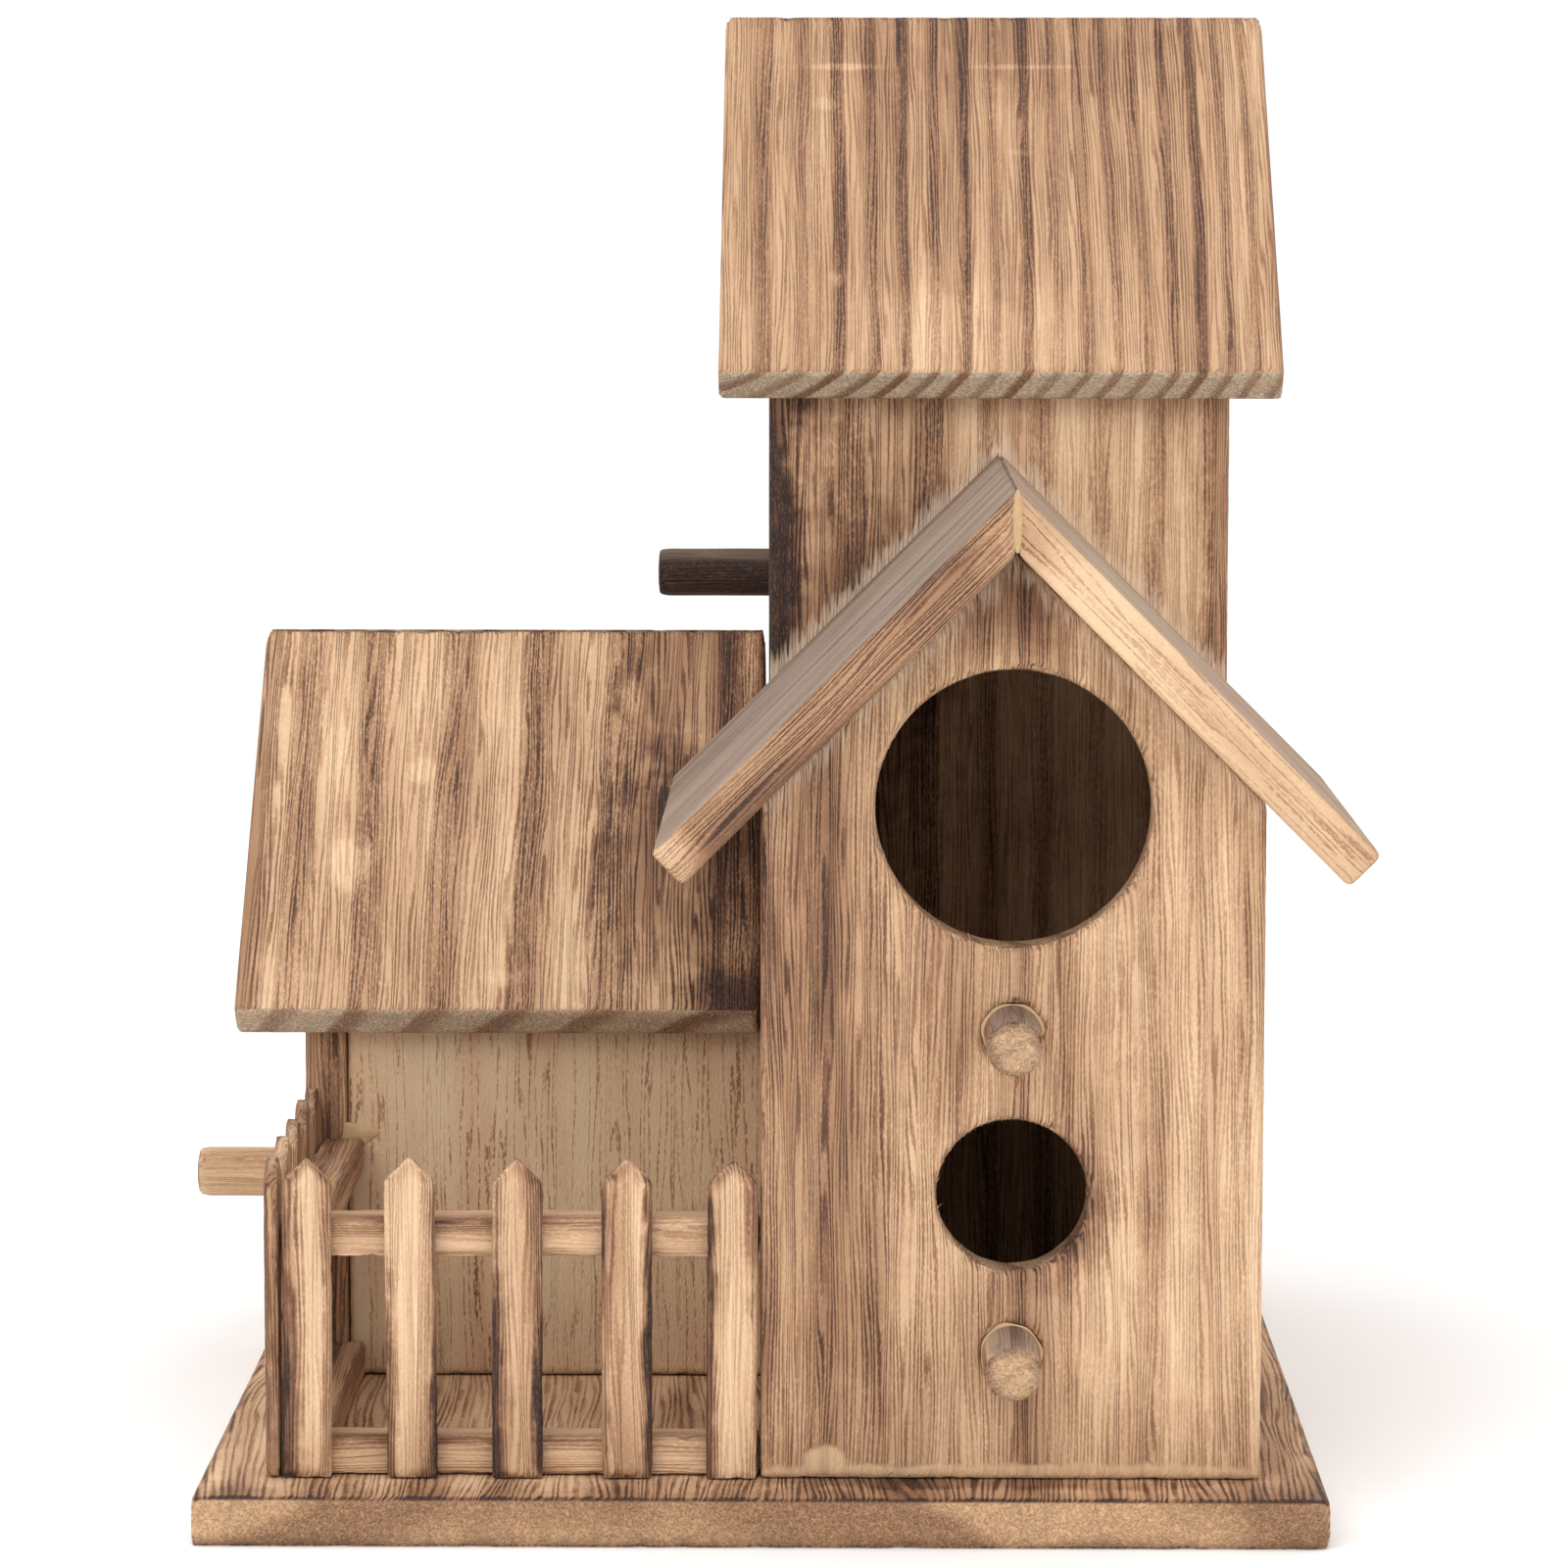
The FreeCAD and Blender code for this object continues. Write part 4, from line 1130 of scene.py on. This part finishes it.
class BIRDHOUSE_OT_small_marks(BoardOperator):
    """Make the torn fibres at the doorways and the glue on the wing, perches and gable"""
    bl_idname = "birdhouse.small_marks"
    bl_label = "Fibres and glue"

    def execute(self, context):
        self.fibres()
        self.glue()
        self.perch_glue()
        self.mitre_glue()
        return {"FINISHED"}

    def fibres(self):
        sizes = bpy.context.scene.birdhouse_sizes
        material = bpy.data.materials["front_wall_wood"]
        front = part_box("front_wall")[0][1]
        for index, opening in enumerate(("upper_front_doorway", "lower_front_doorway")):
            space = next(o for o in frame["record"]["physics"]["openings"] if o["name"] == opening)
            corner_low, corner_high = (Vector(corner) for corner in space["box_m"])
            middle = (corner_low + corner_high) / 2
            radius = (corner_high.x - corner_low.x) / 2 / OPENING_SHARE
            centre = (middle.x, front + FIBRE_ROOT, middle.z)
            piece = grow(opening + "_fibres", bpy.data.meshes.new(opening), [
                ("NODES", {"tree": "Torn Fibres", "inputs": {
                    "Centre": centre, "Radius": radius + FIBRE_GAP,
                    "Turn": (math.radians(90), 0, 0), "Count": sizes.fibre_count,
                    "Length": sizes.fibre_length, "Seed": 31 + index, "Material": material}})])
            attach(piece, HOUSE)

    def glue(self):
        """A flattened drop of glue squeezed out above the upper side rail."""
        rail_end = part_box("upper_side_rail")[1]
        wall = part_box("wing_front_wall")[0][1]
        work = bmesh.new()
        bmesh.ops.create_icosphere(work, subdivisions=5, radius=1.0)
        centre = Vector((rail_end[0] - SMEAR_INSET, wall, rail_end[2] + SMEAR_RISE))
        for vertex in work.verts:
            away = vertex.co.copy()
            bearing = math.atan2(away.z, away.x)
            ripple = 1 + 0.1 * math.sin(3 * bearing + 1) + 0.07 * math.sin(5 * bearing)
            vertex.co = centre + MM * Vector((
                away.x * SMEAR_WIDTH * ripple, away.y * SMEAR_DEPTH,
                away.z * SMEAR_HEIGHT * ripple))
        self.keep("glue_smear", work)

    def mitre_glue(self):
        """The thin line of glue that fills the gable boards' mitre at its front."""
        ridge = Vector(ridge_point("gable_roof_left"))
        half_height = MITRE_HEIGHT / 2
        work = bmesh.new()
        bmesh.ops.create_icosphere(work, subdivisions=4, radius=1.0)
        centre = ridge + Vector((0.0, MITRE_GLUE_SINK, -half_height))
        for vertex in work.verts:
            away = vertex.co.copy()
            vertex.co = centre + Vector((
                away.x * MITRE_GLUE_WIDTH, away.y * MITRE_GLUE_DEPTH,
                away.z * (half_height - MITRE_GLUE_MARGIN)))
        self.keep("mitre_glue", work)

    def perch_glue(self):
        """An uneven bead of glue around each front perch where it meets the wall."""
        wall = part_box("front_wall")[0][1]
        for seed, node in enumerate(("upper_front_perch", "lower_front_perch")):
            low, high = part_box(node)
            middle = Vector(((low[0] + high[0]) / 2, wall, (low[2] + high[2]) / 2))
            radius = (high[0] - low[0]) / 2
            work = bmesh.new()
            loops = []
            for step in range(BEAD_STEPS):
                bearing = 2 * math.pi * step / BEAD_STEPS
                outward = Vector((math.cos(bearing), 0.0, math.sin(bearing)))
                ripple = (BEAD_RADIUS + BEAD_WAVE * math.sin(3 * bearing + seed * 2)
                          + BEAD_RIPPLE * math.sin(7 * bearing + seed))
                loops.append([work.verts.new(
                    middle + outward * (radius - BEAD_SINK + math.cos(around) * ripple * MM)
                    - Vector((0, math.sin(around) * ripple * MM, 0)))
                    for around in (2 * math.pi * side / BEAD_SIDES for side in range(BEAD_SIDES))])
            for one, two in zip(loops, loops[1:] + loops[:1]):
                for side in range(BEAD_SIDES):
                    after = (side + 1) % BEAD_SIDES
                    work.faces.new((one[side], one[after], two[after], two[side]))
            bmesh.ops.recalc_face_normals(work, faces=work.faces)
            self.keep(node + "_glue", work)

    def keep(self, name, work):
        """Turn a worked mesh into a glue piece of the house."""
        mesh = bpy.data.meshes.new(name)
        work.to_mesh(mesh)
        work.free()
        mesh.shade_smooth()
        mesh.materials.append(bpy.data.materials["dried_glue"])
        piece = bpy.data.objects.new(name, mesh)
        bpy.context.scene.collection.objects.link(piece)
        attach(piece, HOUSE)


# --------------------------------------------------------------------------- stage

CAMERA_SIDE = 15.2 * MM          # right of the base board's middle
CAMERA_BACK = 988.6 * MM         # in front of the base board's front edge
CAMERA_HEIGHT = 255.9 * MM
CAMERA_PITCH = 6.57              # degrees down
CAMERA_YAW = 0.63                # degrees to the left
CAMERA_ROLL = 0.05
LENS = 126.0                     # millimetres
SENSOR = 36.0
AIM_HEIGHT = 140.0 * MM          # where the lights point, above the base board's middle
LIGHTS = (                       # name, place and size in metres, watts
    ("key", (-0.9, -1.7, 1.5), (1.5, 1.5), 23),
    ("fill", (1.3, -1.5, 0.9), (1.6, 1.6), 12),
    ("top", (0.0, 0.3, 2.2), (2.0, 2.0), 16),
)
SKY_STRENGTH = 0.82
FLOOR_FRONT = -6.0               # metres
FLOOR_BACK = 3.0
FLOOR_HALF_WIDTH = 6.0
FLOOR_BEND = 1.2
FLOOR_STEPS = 16                 # in the bend
BACKDROP_HEIGHT = 5.0


class BIRDHOUSE_OT_stage(BoardOperator):
    """Lay the pale floor, hang the lights and place the camera"""
    bl_idname = "birdhouse.stage"
    bl_label = "Stage"

    def light(self, name, place, size, power, aim):
        lamp = bpy.data.lights.new(name, "AREA")
        lamp.shape = "RECTANGLE"
        lamp.size, lamp.size_y = size
        lamp.energy = power
        holder = bpy.data.objects.new(name, lamp)
        holder.location = place
        holder.rotation_euler = (Vector(aim) - Vector(place)).to_track_quat("-Z", "Y").to_euler()
        bpy.context.scene.collection.objects.link(holder)

    def floor(self):
        """A pale floor that sweeps up behind the house."""
        work = bmesh.new()
        start = FLOOR_BACK - FLOOR_BEND
        profile = [(FLOOR_FRONT, 0.0), (start, 0.0)]
        for step in range(1, FLOOR_STEPS + 1):
            angle = math.pi / 2 * step / FLOOR_STEPS
            profile.append((start + FLOOR_BEND * math.sin(angle),
                            FLOOR_BEND - FLOOR_BEND * math.cos(angle)))
        profile.append((FLOOR_BACK, BACKDROP_HEIGHT))
        rows = []
        for y, z in profile:
            rows.append([work.verts.new((x, y, z)) for x in (-FLOOR_HALF_WIDTH, FLOOR_HALF_WIDTH)])
        for near, far in zip(rows, rows[1:]):
            work.faces.new((near[0], near[1], far[1], far[0]))
        mesh = bpy.data.meshes.new("floor")
        work.to_mesh(mesh)
        work.free()
        mesh.shade_smooth()
        material = bpy.data.materials.new("pale_floor")
        material.use_nodes = True
        shader = material.node_tree.nodes["Principled BSDF"]
        shader.inputs["Base Color"].default_value = srgb(250, 250, 250)
        shader.inputs["Roughness"].default_value = 0.9
        mesh.materials.append(material)
        floor = bpy.data.objects.new("floor", mesh)
        bpy.context.scene.collection.objects.link(floor)

    def execute(self, context):
        self.floor()
        base_low, base_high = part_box("base_board")
        middle = ((base_low[0] + base_high[0]) / 2, (base_low[1] + base_high[1]) / 2, AIM_HEIGHT)
        for name, place, size, power in LIGHTS:
            self.light(name, place, size, power, middle)
        world = bpy.data.worlds.new("studio")
        world.use_nodes = True
        sky = world.node_tree.nodes["Background"]
        sky.inputs["Color"].default_value = (1.0, 1.0, 1.0, 1.0)
        sky.inputs["Strength"].default_value = SKY_STRENGTH
        scene = context.scene
        scene.world = world
        scene.view_settings.view_transform = "Standard"
        camera = bpy.data.cameras.new("camera")
        camera.lens = LENS
        camera.sensor_width = SENSOR
        camera.clip_start, camera.clip_end = 0.01, 30.0
        holder = bpy.data.objects.new("camera", camera)
        holder.location = (CAMERA_SIDE, base_low[1] - CAMERA_BACK, CAMERA_HEIGHT)
        aim = Euler((math.radians(90 - CAMERA_PITCH), 0.0, math.radians(CAMERA_YAW)))
        roll = Euler((0.0, 0.0, math.radians(CAMERA_ROLL)))
        holder.rotation_euler = (aim.to_matrix() @ roll.to_matrix()).to_euler()
        scene.collection.objects.link(holder)
        scene.camera = holder
        return {"FINISHED"}


# --------------------------------------------------------------------------- add-on

OPERATORS = (
    BIRDHOUSE_OT_stage, BIRDHOUSE_OT_base_board, BIRDHOUSE_OT_front_house,
    BIRDHOUSE_OT_gable_roof, BIRDHOUSE_OT_tower_walls, BIRDHOUSE_OT_tower_roof,
    BIRDHOUSE_OT_wing_walls, BIRDHOUSE_OT_wing_roof, BIRDHOUSE_OT_fence, BIRDHOUSE_OT_perches,
    BIRDHOUSE_OT_clean_outs, BIRDHOUSE_OT_brads, BIRDHOUSE_OT_small_marks,
)


class BIRDHOUSE_PT_panel(bpy.types.Panel):
    """The birdhouse's operators and settings"""
    bl_label = "Birdhouse"
    bl_idname = "BIRDHOUSE_PT_panel"
    bl_space_type = "VIEW_3D"
    bl_region_type = "UI"
    bl_category = "Birdhouse"

    def draw(self, context):
        column = self.layout.column()
        for settings in (context.scene.birdhouse_finish, context.scene.birdhouse_sizes):
            for name in settings.bl_rna.properties.keys():
                if name not in {"rna_type", "name"}:
                    column.prop(settings, name)
        for operator in OPERATORS:
            column.operator(operator.bl_idname)


CLASSES = (BirdhouseFinish, BirdhouseSizes, *OPERATORS, BIRDHOUSE_PT_panel)


def register():
    for each in CLASSES:
        bpy.utils.register_class(each)
    bpy.types.Scene.birdhouse_finish = bpy.props.PointerProperty(type=BirdhouseFinish)
    bpy.types.Scene.birdhouse_sizes = bpy.props.PointerProperty(type=BirdhouseSizes)


def unregister():
    del bpy.types.Scene.birdhouse_sizes
    del bpy.types.Scene.birdhouse_finish
    for each in reversed(CLASSES):
        bpy.utils.unregister_class(each)


def make_shared():
    """The node groups and finishes that several pieces share."""
    for make in (make_grain_group, make_patch_group, make_edge_group, make_joint_group,
                 make_end_group, make_worn_board_tree, make_picket_tree, make_brad_tree,
                 make_fibre_tree, metal_material, glue_material):
        make()


def main():
    register()
    make_shared()
    for operator in OPERATORS:
        group, name = operator.bl_idname.split(".")
        getattr(getattr(bpy.ops, group), name)()


if __name__ == "__main__":
    main()
